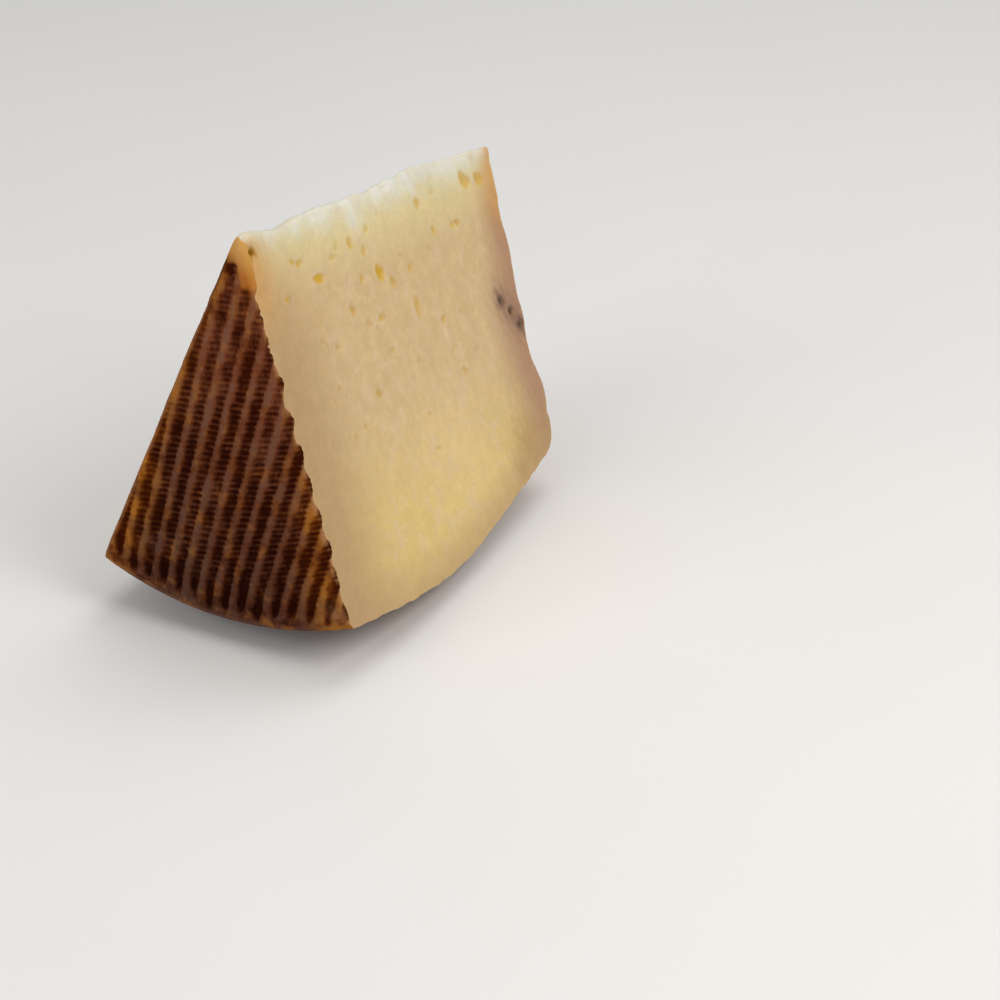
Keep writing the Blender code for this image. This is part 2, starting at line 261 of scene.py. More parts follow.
class WheelSettings(bpy.types.PropertyGroup):
    """The wheel, and the two knife cuts that make the wedge."""

    radius: length("Radius", "Radius of the wheel", 0.090)
    axis_drop: angle("Axis drop", "How far the wheel's axis drops towards the back", 9.16)
    left_cut: angle("Left cut", "Angle of the left cut", 20.8)
    right_cut: angle("Right cut", "Angle of the right cut", 22.1)
    cuts_meet_x: length("Cuts meet at X", "Where the cuts meet, across the wedge", -0.0012)
    cuts_meet_z: length("Cuts meet at Z", "Where the cuts meet, above the wheel's axis", 0.0020)
    place: position("Place", "Middle of the wheel's front face", (0.000057, -0.047470, 0.095793))


class MatSettings(bpy.types.PropertyGroup):
    """The plaited mat that moulded the rind."""

    groove_pitch: length("Groove pitch", "From one rib of the flat faces to the next", 0.0043)
    groove_depth: length("Groove depth", "How deep the grooves of the flat faces are", 0.00085)
    thread_pitch: length("Thread pitch", "From one cross thread to the next", 0.00144)
    rim_band: length("Rim band", "Width of the bare band round the rim", 0.0021)
    bare_tip: length("Bare tip", "How far the face is bare below the wheel's axis", 0.0065)
    band_width: length("Band width", "Width of one band of the plait on the side", 0.0086)
    bundle_pitch: length("Bundle pitch", "From one bundle of the plait to the next", 0.0080)
    bundle_depth: length("Bundle depth", "How deep the plait is", 0.00042)
    strands: IntProperty(name="Strands", description="Stalks in one bundle of the plait", default=5, min=1)
    strand_depth: length("Strand depth", "How deep the lines between the stalks are", 0.00016)


class PasteSettings(bpy.types.PropertyGroup):
    """The cut paste and its eyes."""

    small_eyes: IntProperty(
        name="Small eyes", description="Eyes drawn at random on each cut", default=12, min=0
    )
    eye_seed: IntProperty(name="Eye seed", description="Which random draw the eyes follow", default=11)
    eye_depth: FloatProperty(
        name="Eye depth", description="Depth of an eye as a share of its size", default=0.30, min=0.1
    )
    waviness: length("Waviness", "How far the knife wandered", 0.00010)


class WedgeColours(bpy.types.PropertyGroup):
    """Colours of the rind and the paste."""

    crest: colour("Rib crest", "Crests of the rind's ribs", "#613a26")
    rind: colour("Rind", "Walls of the grooves", "#602e14")
    thread: colour("Cross threads", "Bars that cross threads left in the grooves", "#47200d")
    groove: colour("Groove", "Floor of the grooves", "#2a0a03")
    golden: colour("Golden rind", "Rind near the knife cuts", "#a06422")
    amber: colour("Amber rind", "Walls of the grooves in the golden rind", "#6c360c")
    soot: colour("Golden grooves", "Floor of the grooves in the golden rind", "#421804")
    chip: colour("Chipped crest", "Crests that the knife has chipped at the edges of the cuts", "#a8764c")
    # The bare tip's colour is its own pale rind, painted lighter as painted light for the light that its
    # worn, rounded edge catches
    tip: colour("Bare tip", "Rind at the tip of the flat faces", "#dcad62")
    blotch: colour("Blotch", "Orange blotches on the bare tip", "#a45703")
    straw: colour("Plait", "Crests of the plait on the curved side", "#94704a")
    paste: colour("Paste", "Middle of the paste", "#d0b383")
    cream: colour("Cream", "Paste under the ridge, and in patches", "#dbc792")
    yellow: colour("Yellow paste", "Paste low in the wedge", "#dcbe76")
    dry: colour("Dry ridge", "Paste dried pale along the ridge", "#e0dccc")
    pale: colour("Pale paste", "Paste just under the dry ridge", "#dcd2ab")
    ridge: colour("White paste", "Paste dried to near white at the cracks", "#e6e5dc")
    edge: colour("Paste by the rind", "Paste close under the rind", "#b8976a")
    back_edge: colour("Paste by the back", "Paste close under the back rind", "#b08767")
    glow: colour("Paste by the tips", "Orange paste by the bare tips", "#cc9a58")
    stain: colour("Stain", "Brown stain round the mould", "#8f6c55")
    olive: colour("Olive paste", "Darker paste low by the back", "#b38f55")
    pit: colour("Pit", "The pit at the tip", "#80500c")
    blush: colour("Blush", "Pale pink patches in the paste", "#dcbf9e")
    light: colour("Light paste", "Lighter paste low in the middle of the right cut", "#eccf94")
    # The eyes' walls: partly their own golden colour, partly painted shade in the hollows
    eye: colour("Eye", "Walls of the eyes", "#d3a928")
    mould: colour("Mould", "Dark spots of mould", "#583e2a")


class StageSettings(bpy.types.PropertyGroup):
    """The floor, the room's light and the camera."""

    azimuth: angle("Azimuth", "The camera's turn round the wedge", 28.87234)
    elevation: angle("Elevation", "How far the camera looks down", 27.98786)
    camera_place: position("Camera place", "Where the camera stands", (0.33712864, -0.54424215, 0.34835315))
    lens: FloatProperty(name="Lens", description="Focal length on a 36 mm sensor", default=108.0)
    floor: colour("Floor", "Plain pale floor", "#f1efec")
    room: colour("Room", "Light of the room", "#f3f5f8")


def smooth_step(low, high, value):
    """0 below low and 1 above high, with the cubic 3t^2 - 2t^3 between them."""
    t = np.clip((value - low) / (high - low), 0.0, 1.0)
    return t * t * (3.0 - 2.0 * t)


def bell(value, width):
    """1 at 0, falling off on both sides: e to the minus square of value over width."""
    return np.exp(-((value / width) ** 2))


def smooth_through(outline, at):
    """The cubic that passes through the outline's points (Catmull-Rom), read at each place `at`.

    The first number of each point rises or falls along the whole outline.
    """
    points = np.array(outline if outline[0][0] < outline[-1][0] else outline[::-1])
    known, values = points[:, 0], points[:, 1]
    slopes = np.gradient(values, known)
    span = np.clip(np.searchsorted(known, at) - 1, 0, len(known) - 2)
    width = known[span + 1] - known[span]
    t = np.clip((at - known[span]) / width, 0.0, 1.0)
    return (
        (2 * t**3 - 3 * t**2 + 1) * values[span]
        + (t**3 - 2 * t**2 + t) * width * slopes[span]
        + (-2 * t**3 + 3 * t**2) * values[span + 1]
        + (t**3 - t**2) * width * slopes[span + 1]
    )


def ripple(a, b, size, seed, waves=8):
    """Smooth unevenness of about -1 to 1 over the plane a, b.

    It is the sum of cosine waves with random directions and phases, and lengths round `size`,
    over the square root of their number.
    """
    draw = np.random.default_rng(seed)
    total = np.zeros(np.broadcast(a, b).shape)
    for _ in range(waves):
        turn, phase = draw.uniform(0.0, 2 * math.pi, 2)
        wave = size * draw.uniform(0.6, 1.7)
        total += np.cos(2 * math.pi * (a * math.cos(turn) + b * math.sin(turn)) / wave + phase)
    return total / math.sqrt(waves)


# How the mat lay on one flat face of the wheel: how far its ribs lean, where one of them runs, how far
# they hook sideways at the rim, how steeply cross threads climb, how much that grows to the right, and
# the seed of its unevenness
FlatFace = namedtuple("FlatFace", "lean rib_at hook climb bend seed")
FRONT = FlatFace(math.radians(11.5), 0.00165, -0.0018, 0.34, 5.0, 21)
BACK = FlatFace(math.radians(-8.0), 0.0006, -0.0012, -0.15, 0.0, 22)
# Ribs lie further apart with height, by this share for each metre above this place
FAN = 1.5
FAN_AT = -0.070
# How far up from the rim the hook reaches, and from where threads climb more and more
HOOK_REACH = 0.011
BEND_FROM = 0.004
# How much lower the bare tip reaches on the right
TIP_DROP = 0.0062
# How wide the band is where the front face falls back to the rim
FALL_BAND = 0.0042
# Where a groove's wall starts and ends, as shares of the pitch, and how much later it does by the rim
WALL_START, WALL_END = 0.06, 0.38
LATER_START, LATER_END = 0.05, 0.04
# How high the cross threads' bars are, as a share of the groove's depth
BAR_HEIGHT = 0.43
# How round a groove's end is at the rim, how long its slope is, and how uneven the ends are
END_ROUNDING, END_SLOPE, END_SWAY = 0.0014, 0.0024, 0.0009
# How much of its depth the relief has lost: in worn patches, towards the tip, and by the left cut
WORN_PATCHES, WORN_HIGH, WORN_LEFT = 0.22, 0.28, 0.55


def hooked(from_rim, face):
    """How far a rib's lower end bends sideways: it grows with the square of the nearness to the rim."""
    return face.hook * np.clip(1.0 - from_rim / HOOK_REACH, 0.0, 1.0) ** 2


def thread_rise(across, face):
    """How far a cross thread climbs along the ribs: evenly, and more and more on the right."""
    return face.climb * across + face.bend * np.clip(across - BEND_FROM, 0.0, None) ** 2


def mat_place(x, z, face, wheel):
    """Across the mat's ribs and along them, for the point x, z of a flat face.

    The face is turned by the ribs' lean, the ribs' hook near the rim is taken off, and the
    distance across is divided by the fan's spread at that height.
    """
    along = x * math.sin(face.lean) + z * math.cos(face.lean)
    fanned = x * math.cos(face.lean) - z * math.sin(face.lean)
    fanned = fanned + hooked(wheel.radius - np.hypot(x, z), face)
    return fanned / (1 + FAN * (along - FAN_AT)), along


def flat_place(across, along, face, wheel):
    """The point x, z of a flat face at that distance across the mat's ribs and along them."""
    fanned = across * (1 + FAN * (along - FAN_AT))
    fanned = fanned - hooked(wheel.radius - np.hypot(fanned, along), face)
    return (
        fanned * math.cos(face.lean) + along * math.sin(face.lean),
        along * math.cos(face.lean) - fanned * math.sin(face.lean),
    )


def bare_tip(x, z, mat):
    """1 on the bare tip of a flat face and 0 in the grooves. On the right it reaches lower."""
    lower = TIP_DROP * smooth_step(-0.0016, 0.0010, x)
    edge = -mat.bare_tip - lower + 0.0005 * ripple(x, z, 0.004, 5)
    return smooth_step(-0.0012, 0.0012, z - edge)


def from_cuts(x, z, wheel):
    """How far inside the left cut and inside the right cut the point x, z of a flat face lies."""
    x, z = x - wheel.cuts_meet_x, z - wheel.cuts_meet_z
    return (
        x * math.cos(wheel.left_cut) - z * math.sin(wheel.left_cut),
        -x * math.cos(wheel.right_cut) - z * math.sin(wheel.right_cut),
    )


def mat_depth(x, z, face, mat, wheel):
    """How deep the mat has pressed a flat face at x, z.

    Across the ribs a groove is flat with soft walls. In it, cross threads leave low bars: a cosine
    along the ribs. Crests widen near the rim, where grooves end rounded and bars fade, and the
    relief is weaker towards the tip and along the left cut.
    """
    across, along = mat_place(x, z, face, wheel)
    radius = np.hypot(x, z)
    turn = (across - face.rib_at) / mat.groove_pitch
    rib = np.round(turn)
    groove_number = np.floor(turn)
    off = np.abs(turn - rib)
    sway = ripple(across, along, 0.011, face.seed) + 0.7 * ripple(across, along, 0.0045, face.seed + 6)
    petal = smooth_step(wheel.radius - 0.011, wheel.radius - 0.004, radius)
    start, end = WALL_START + LATER_START * petal, WALL_END + LATER_END * petal
    groove = smooth_step(start, end, off + 0.026 * sway)

    high = smooth_step(-0.050, -0.020, z)
    jitter = 0.12 * ripple(across, along, 0.012, face.seed + 1)
    thread = (along - thread_rise(across, face)) / mat.thread_pitch + jitter
    bar = 0.5 + 0.5 * np.cos(2 * math.pi * thread)
    left, right = from_cuts(x, z, wheel)
    bar_height = BAR_HEIGHT + 0.08 * ripple(across, along, 0.005, face.seed + 2)
    by_rim = smooth_step(wheel.radius - 0.015, wheel.radius - 0.005, radius)
    bar_height = np.clip(bar_height, 0.1, 0.9) * (1.0 - 0.8 * by_rim) * (1.0 - 0.25 * high)
    bar_height = bar_height * (0.35 + 0.65 * smooth_step(0.0003, 0.0020, right))

    rim_end = wheel.radius - mat.rim_band + END_SWAY * np.sin(2.4 * groove_number + face.seed)
    rounded = END_ROUNDING * ((0.5 - off) / 0.3) ** 2
    reach = np.sqrt(np.clip((rim_end - rounded - radius) / END_SLOPE, 0.0, 1.0))
    reach = reach * (1.0 - bare_tip(x, z, mat))
    worn = 1.0 - WORN_PATCHES * np.clip(ripple(x, z, 0.014, face.seed + 3), 0.0, 1.0)
    worn = worn * (1.0 - WORN_HIGH * high)
    worn = worn * (1.0 - WORN_LEFT + WORN_LEFT * smooth_step(0.0001, 0.0013, left))

    crest = 0.05 * (1.0 - bar) * (1.0 - groove)
    depth = reach * (worn * groove * (1.0 - bar * bar_height) + crest)
    swell = 0.07 * (1.0 + ripple(x, z, 0.020, face.seed + 4))
    swell = swell + 0.04 * (1.0 + ripple(x, z, 0.0032, face.seed + 5))
    return mat.groove_depth * (depth + swell)


def edge_rounding(x, z, wheel):
    """How far a flat face falls back where a cut meets it: a quarter round, wider on the bare tip."""
    tip = smooth_step(-0.017, -0.011, z)
    near = np.clip(1.0 - np.minimum(*from_cuts(x, z, wheel)) / (0.0007 + 0.0017 * tip), 0.0, 1.5)
    return (0.00018 + 0.00080 * tip) * near**2


def rim_fall(x, z, wheel):
    """How far the front face has fallen back: it grows with the nearness to the rim, power 2.2."""
    near = np.clip((np.hypot(x, z) - wheel.radius + FALL_BAND) / FALL_BAND, 0.0, 1.5)
    return RIM_FALL * near**2.2


def back_face(x, z):
    """How far along the axis the back flat face lies over the point x, z."""
    return smooth_through(BACK_OUTLINE, np.hypot(x, z))


def side_section(step):
    """Places along the axis and radii of the curved side, in even steps of its own length."""
    steps = np.linspace(0.0, 1.0, len(SIDE_OUTLINE))
    fine = np.linspace(0.0, 1.0, 800)
    outline = np.array(SIDE_OUTLINE)
    along = smooth_through(np.column_stack([steps, outline[:, 0]]), fine)
    radius = smooth_through(np.column_stack([steps, outline[:, 1]]), fine)
    run = np.concatenate([[0.0], np.cumsum(np.hypot(np.diff(along), np.diff(radius)))])
    at = np.linspace(0.0, run[-1], round(run[-1] / step) + 1)
    return np.interp(at, run, along), np.interp(at, run, radius), at


def plait_turn(around, across, mat):
    """Which bundle a point of the side lies in, as a count of turns, and how far up its band it is.

    Bundles slant one way in one band and the other way in the next.
    """
    band = across / mat.band_width
    number = np.floor(band)
    inside = band - number
    slant = np.where(number % 2 == 0, 1.0, -1.0)
    return around / mat.bundle_pitch + slant * (inside - 0.5) * 0.95, inside


def plait_depth(around, across, along, mat):
    """How deep the plait has pressed the side.

    A bundle is a raised cosine round the wheel times a sine arch across its band, and its stalks
    are a finer cosine on it. The plait fades out at both rims.
    """
    turn, inside = plait_turn(around, across, mat)
    turn = turn + 0.05 * ripple(around, across, 0.017, 31)
    bundle = 0.5 - 0.5 * np.cos(2 * math.pi * turn)
    arch = np.sin(math.pi * inside) ** 0.7
    fade = np.clip((along - 0.0035) / 0.005, 0, 1) * np.clip((0.0990 - along) / 0.005, 0, 1)
    stalks = 0.5 - 0.5 * np.cos(2 * math.pi * mat.strands * turn)
    worn = 1.0 - 0.18 * np.clip(ripple(around, across, 0.013, 32), 0.0, 1.0)
    depth = mat.bundle_depth * (1.0 - bundle**0.8 * arch) * worn
    depth = depth + mat.strand_depth * (1.0 - stalks) * bundle * arch
    return fade * depth + 0.00004 * (1.0 + ripple(around, across, 0.004, 33))


def read(items, key, kind, columns=1):
    """One property of all of a mesh's items, as an array."""
    values = np.empty(columns * len(items), kind)
    items.foreach_get(key, values)
    return values if columns == 1 else values.reshape(-1, columns)


def add_to_scene(name, data):
    """An object with the given data, in the scene."""
    obj = bpy.data.objects.new(name, data)
    bpy.context.scene.collection.objects.link(obj)
    return obj


def closed_mesh(name, points, faces, material):
    """A mesh object from arrays of points and faces, with its faces turned outwards."""
    mesh = bpy.data.meshes.new(name)
    mesh.from_pydata(np.asarray(points).tolist(), [], faces)
    mesh.materials.append(material)
    obj = add_to_scene(name, mesh)
    bpy.context.view_layer.objects.active = obj
    bpy.ops.object.select_all(action="DESELECT")
    obj.select_set(True)
    bpy.ops.object.mode_set(mode="EDIT")
    bpy.ops.mesh.select_all(action="SELECT")
    bpy.ops.mesh.normals_make_consistent(inside=False)
    bpy.ops.object.mode_set(mode="OBJECT")
    return obj


def grid_faces(rows, columns, around=False):
    """The squares of a grid of points whose rows follow each other. `around` joins each row's ends."""
    number = np.arange(rows * columns).reshape(rows, columns)
    if around:
        number = np.concatenate([number, number[:, :1]], axis=1)
    corners = (number[:-1, :-1], number[:-1, 1:], number[1:, 1:], number[1:, :-1])
    return np.stack(corners, axis=-1).reshape(-1, 4).tolist()


def tube_faces(rows, ring):
    """The squares of a tube of `rows` rings, and its two flat ends."""
    last = (rows - 1) * ring
    return [*grid_faces(rows, ring, around=True), list(range(ring)), list(range(last, last + ring))]


def axis_turn(wheel):
    """The turn about X by the axis drop, as a matrix."""
    c, s = math.cos(wheel.axis_drop), math.sin(wheel.axis_drop)
    return np.array(((1.0, 0.0, 0.0), (0.0, c, s), (0.0, -s, c)))


def to_part(points, wheel):
    """Points of the wheel's frame, turned by the axis drop and moved to the wheel's place."""
    return points @ axis_turn(wheel).T + np.array(wheel.place)


def to_wheel(points, wheel):
    """Points of the part's frame in the wheel's frame: the move and the turn of to_part, undone."""
    return (points - np.array(wheel.place)) @ axis_turn(wheel)


def wheel_block(wheel, mat, material):
    """A block of the wheel, wider than the wedge.

    Each slice has one X. Down the side, its depth is where the side's radius, less the plait, meets
    that X. Up the back face it has even steps of Z, and its place along the axis is the back's
    outline less the grooves.
    """
    columns = np.linspace(-BLOCK_HALF_WIDTH, BLOCK_HALF_WIDTH, BLOCK_SLICES)[:, None]
    along, radius, across = side_section(SIDE_STEP)
    x = np.repeat(columns, len(along), axis=1)
    around = np.arcsin(x / radius) * wheel.radius
    height = -np.sqrt((radius - plait_depth(around, across, along, mat)) ** 2 - x**2)
    side = np.stack([x, np.broadcast_to(along, x.shape), height], axis=-1)

    low = height[:, -1:]
    up = np.linspace(0.0, 1.0, BACK_ROWS + 1)[1:]
    x = np.repeat(columns, BACK_ROWS, axis=1)
    z = low * (1 - up) + BLOCK_TOP * up
    rim = smooth_step(0.0, 0.003, z - low)
    back = np.stack([x, back_face(x, z) - rim * mat_depth(x, z, BACK, mat, wheel), z], axis=-1)

    top = np.stack([columns, np.full_like(columns, BLOCK_FRONT), np.full_like(columns, BLOCK_TOP)], axis=-1)
    slices = np.concatenate([top, side, back], axis=1)
    faces = tube_faces(*slices.shape[:2])
    return closed_mesh(PIECE, to_part(slices.reshape(-1, 3), wheel), faces, material)


def front_block(wheel, mat, material):
    """A block with the mat's relief on its front, which reaches past the back of the wheel.

    Its front is a grid that follows the ribs: even steps across them and along them. The depth of
    the mat, and a rounding towards the rim, is its place along the axis.
    """
    across = FRONT.rib_at + mat.groove_pitch / RIB_STEPS * np.arange(*GRID_ACROSS)
    threads = np.arange(GRID_ALONG[0] * THREAD_STEPS, GRID_ALONG[1] * THREAD_STEPS) / THREAD_STEPS
    across, threads = np.meshgrid(across, threads)
    along = threads * mat.thread_pitch + thread_rise(across, FRONT)
    x, z = flat_place(across, along, FRONT, wheel)
    y = FRONT_AT + mat_depth(x, z, FRONT, mat, wheel) + edge_rounding(x, z, wheel) + rim_fall(x, z, wheel)
    front = np.stack([x, y, z], axis=-1).reshape(-1, 3)
    rows, columns = x.shape
    number = np.arange(rows * columns).reshape(rows, columns)
    border = np.concatenate([number[0], number[1:, -1], number[-1, -2::-1], number[-2:0:-1, 0]])
    behind = front[border] * (1.0, 0.0, 1.0) + (0.0, BEHIND_WHEEL, 0.0)
    apex = behind.mean(axis=0) + (0.0, 0.01, 0.0)
    ring = len(front) + np.arange(len(border))
    sides = np.stack([border, np.roll(border, -1), np.roll(ring, -1), ring], axis=-1)
    fan = np.stack([ring, np.roll(ring, -1), np.full(len(ring), ring[-1] + 1)], axis=-1)
    faces = grid_faces(rows, columns) + sides.tolist() + fan.tolist()
    return closed_mesh("front_block", to_part(np.vstack([front, behind, apex]), wheel), faces, material)


def crack_push(along, down):
    """How deep a ridge crack is at a place on the right cut.

    Across it is a narrow bell with a raised lip, a wider bell on one side, and both run out down it.
    """
    push = np.zeros(np.broadcast(along, down).shape)
    for place, run, slant in RIDGE_CRACKS:
        off = along / MM - place - slant * down / MM - 0.4 * ripple(along, down, 0.004, int(place))
        fade = 1.0 - smooth_step(0.3 * run, run, down / MM)
        push = push + fade * (0.45 * bell(off, 0.55) - 0.16 * bell(off - 1.3, 1.0))
    return push * MM


def front_chip(along, down, side):
    """How much of the front edge the knife has broken off: most near the tip, falling off inwards."""
    near_tip = smooth_step(0.010, 0.014, down) * smooth_step(0.050, 0.034, down)
    worst = (0.00050 + 0.00065 * near_tip) if side > 0 else 0.00010
    uneven = np.clip(1.0 + 0.45 * ripple(0.0, down, 0.0060, 47 + side), 0.1, 2.0)
    inwards = np.exp(-np.clip(along - FRONT_AT, 0.0, None) / CHIP_REACH)
    return worst * uneven * smooth_step(0.006, 0.012, down) * inwards


def knife_wander(along, down, side, paste):
    """How far a cut lies under its plane: wide waves, short waves drawn out down the cut, and cracks."""
    wide = ripple(along, down, 0.022, 41 + side)
    drag = ripple(along, 0.16 * down, 0.0034, 43 + side)
    push = paste.waviness * (0.8 + wide + 0.45 * drag) + front_chip(along, down, side)
    crumbled = np.clip(ripple(along, down, 0.0062, 45 + side), 0.0, 2.0) ** 2
    chips = 0.00028 * crumbled * np.exp(-down / CRUMBLED_REACH)
    return push + chips + (crack_push(along, down) if side > 0 else 0.0)


def ridge_centre(along, wheel):
    """Where the ridge's rounding has its middle, and its radius, at each place along the axis."""
    radius = smooth_through(RIDGE_BLUNTNESS, along)
    half = (wheel.left_cut + wheel.right_cut) / 2
    middle = (wheel.right_cut - wheel.left_cut) / 2
    x = wheel.cuts_meet_x + radius / math.sin(half) * math.sin(middle)
    z = wheel.cuts_meet_z - radius / math.sin(half) * math.cos(middle)
    return x, z, radius


def knife_prism(wheel, paste, material):
    """The space between the two knife cuts.

    In section it is an arc round the ridge with a straight cut on each side. Steps down the cuts
    grow by a twentieth each up to the longest. Each point is pushed in along its normal by the
    knife's wander.
    """
    fine = np.arange(-0.0012, FINE_END, 0.0004)
    wide = np.arange(FINE_END, BACK_OUTLINE[-1][1] + 2 * CUT_MARGIN, 0.00125)
    along = np.concatenate([[-CUT_MARGIN, -CUT_MARGIN / 2], fine, wide])[:, None]
    x, z, radius = ridge_centre(along, wheel)
    down = np.cumsum(np.minimum(FIRST_STEP * 1.05 ** np.arange(200), LONGEST_STEP))
    down = down[down < CUT_DEPTH]
    arc = np.linspace(math.pi - wheel.left_cut, wheel.right_cut, 9)

    def cut(side, slope, start):
        """One cut: from its arc's end it goes away by the distance down it."""
        push = knife_wander(along, down, side, paste)
        return (
            x + radius * math.cos(start) + side * down * math.sin(slope) - push * math.cos(start),
            z + radius * math.sin(start) - down * math.cos(slope) - push * math.sin(start),
        )

    blend = np.linspace(0.0, 1.0, len(arc))
    top = [knife_wander(along, np.zeros(1), side, paste) for side in (-1, 1)]
    shrunk = radius - (top[0] * (1 - blend) + top[1] * blend)
    rounding = (x + shrunk * np.cos(arc), z + shrunk * np.sin(arc))
    left, right = cut(-1, wheel.left_cut, arc[0]), cut(1, wheel.right_cut, arc[-1])
    across, height = (np.concatenate([a[:, ::-1], b, c], axis=1) for a, b, c in zip(left, rounding, right))
    prism = np.stack([across, np.broadcast_to(along, across.shape), height], axis=-1)
    faces = tube_faces(*across.shape)
    return closed_mesh("knife_prism", to_part(prism.reshape(-1, 3), wheel), faces, material)


def scattered_eyes(taken, count, draw):
    """The taken eyes and `count` small ones in random places, closer together near the ridge."""
    eyes = [tuple(eye) for eye in taken]
    wanted = len(eyes) + count
    while len(eyes) < wanted:
        along = draw.uniform(6.0, 101.0)
        down = 5.0 + 68.0 * draw.random() ** 1.5
        size = 0.9 + 1.5 * draw.random() ** 2.2
        high = size * draw.uniform(0.8, 1.7)
        turn = draw.uniform(-30.0, 30.0)
        gaps = [
            math.hypot(along - eye[0], down - eye[1]) - 0.75 * (max(size, high) + max(eye[2:4]))
            for eye in eyes
        ]
        if not gaps or min(gaps) > 0.0:
            eyes.append((along, down, size, high, turn, draw.uniform(0.4, 0.8)))
    return np.array(eyes)


# The rings of an eye's dish, from its middle outwards, the last of them above the cut: reach as a
# share of half the eye's size, fall as a share of its depth, and how far it is lifted in millimetres
DISH_RINGS = (
    (0.35, 0.86, 0.00),
    (0.60, 0.62, 0.00),
    (0.80, 0.34, 0.00),
    (0.95, 0.13, 0.00),
    (1.08, 0.00, 0.00),
    (1.24, -0.14, 0.06),
    (1.50, -0.70, 0.22),
)
DISH_TURNS = 18
# How an eye's outline is uneven: so many waves round it, and how high they are
DISH_WAVES = ((2, 0.12), (3, 0.09), (5, 0.05))
# How much deeper than the cut an eye may lie, in millimetres
MOST_SINK = 0.06


def eye_hollows(name, side, eyes, wheel, paste, draw, material):
    """Closed dishes sunk into one cut, with a flared lip that makes a soft rim.

    A dish is rings of points, ellipses made uneven by cosines, and it is turned in the cut. A point
    closes it at its deepest, and another one above the cut.
    """
    slope = wheel.left_cut if side < 0 else wheel.right_cut
    down_cut = np.array((side * math.sin(slope), 0.0, -math.cos(slope)))
    into_cut = np.array((-side * math.cos(slope), 0.0, -math.sin(slope)))
    axis = np.array((0.0, 1.0, 0.0))
    ridge = np.array((wheel.cuts_meet_x, 0.0, wheel.cuts_meet_z))
    reach, fall, lift = (np.array(column)[:, None] for column in zip(*DISH_RINGS))
    count, turns, rings = len(eyes), DISH_TURNS, len(DISH_RINGS)
    u = np.linspace(0.0, 2 * math.pi, turns, endpoint=False)
    phase = draw.uniform(0.0, 2 * math.pi, (3, count, 1, 1))
    uneven = 1.0 + sum(share * np.cos(k * u + phase[i]) for i, (k, share) in enumerate(DISH_WAVES))
    turn = np.radians(eyes[:, 4])[:, None, None]
    long_way = 0.5 * eyes[:, 2, None, None] * np.cos(u) * reach * uneven
    high_way = 0.5 * eyes[:, 3, None, None] * np.sin(u) * reach * uneven
    smaller = np.minimum(eyes[:, 2], eyes[:, 3])
    deepest = paste.eye_depth * smaller * eyes[:, 5]
    deep_way = (deepest[:, None, None] * fall - lift) * np.ones(turns)
    along = long_way * np.cos(turn) - high_way * np.sin(turn)
    low = long_way * np.sin(turn) + high_way * np.cos(turn)
    sink = knife_wander(eyes[:, 0] * MM, eyes[:, 1] * MM, side, paste)
    sink = sink + draw.uniform(0.0, MOST_SINK, count) * MM
    centre = (
        ridge
        + (eyes[:, 1, None] * MM + wheel.cuts_meet_z) * down_cut
        + eyes[:, :1] * MM * axis
        + sink[:, None] * into_cut
    )
    dish = centre[:, None, None] + MM * (
        along[..., None] * axis + low[..., None] * down_cut + deep_way[..., None] * into_cut
    )
    pole = MM * deepest[:, None] * into_cut
    poles = np.stack([centre + pole, centre - 0.9 * pole - 0.00045 * into_cut], axis=1)

    grid = np.array(grid_faces(rings, turns, around=True))
    spin = np.arange(turns)
    near, far = np.roll(spin, -1), (rings - 1) * turns + spin
    base = count * rings * turns
    faces = []
    for number in range(count):
        first = number * rings * turns
        faces += (grid + first).tolist()
        caps = (
            (spin + first, near + first, base + 2 * number),
            (np.roll(far, -1) + first, far + first, base + 2 * number + 1),
        )
        for a, b, tip in caps:
            faces += np.stack([a, b, np.full(turns, tip)], axis=-1).tolist()
    points = np.vstack([dish.reshape(-1, 3), poles.reshape(-1, 3)])
    return closed_mesh(name, to_part(points, wheel), faces, material)


def resting_surface(material):
    """A block whose top is the surface that the wedge lies on."""
    plan = [(-0.1, -0.1), (0.1, -0.1), (0.1, 0.1), (-0.1, 0.1)]
    corners = [(x, y, z) for z in (-0.02, 0.0) for x, y in plan]
    return closed_mesh("resting_surface", corners, tube_faces(2, 4), material)


def drop_crumbs(mesh):
    """Keeps the largest connected part of the mesh and deletes the crumbs that the cuts left.

    Each point takes the lowest number among its neighbours until nothing changes, so that every
    part ends with one number.
    """
    one, other = read(mesh.edges, "vertices", np.int32, 2).T
    part = np.arange(len(mesh.vertices))
    before = None
    while before is None or (before != part).any():
        before = part.copy()
        lowest = np.minimum(part[one], part[other])
        np.minimum.at(part, one, lowest)
        np.minimum.at(part, other, lowest)
        part = part[part]
    loose = np.flatnonzero(part != np.bincount(part).argmax())
    if not len(loose):
        return
    shell = bmesh.new()
    shell.from_mesh(mesh)
    shell.verts.ensure_lookup_table()
    bmesh.ops.delete(shell, geom=[shell.verts[number] for number in loose], context="VERTS")
    shell.to_mesh(mesh)
    shell.free()


def cut_with(obj, cutters):
    """Applies one Boolean for each cutter to the object, and removes the cutters."""
    for cutter, operation in cutters:
        modifier = obj.modifiers.new(cutter.name, "BOOLEAN")
        modifier.object = cutter
        modifier.operation = operation
        modifier.solver = "MANIFOLD"
        modifier.material_mode = "TRANSFER"
    graph = bpy.context.evaluated_depsgraph_get()
    shaped = bpy.data.meshes.new_from_object(obj.evaluated_get(graph), depsgraph=graph)
    if len(shaped.polygons) < 1000:
        raise RuntimeError("the cuts left no wedge")
    obj.modifiers.clear()
    drop_crumbs(shaped)
    obj.data = shaped
    for cutter, _ in cutters:
        bpy.data.objects.remove(cutter)


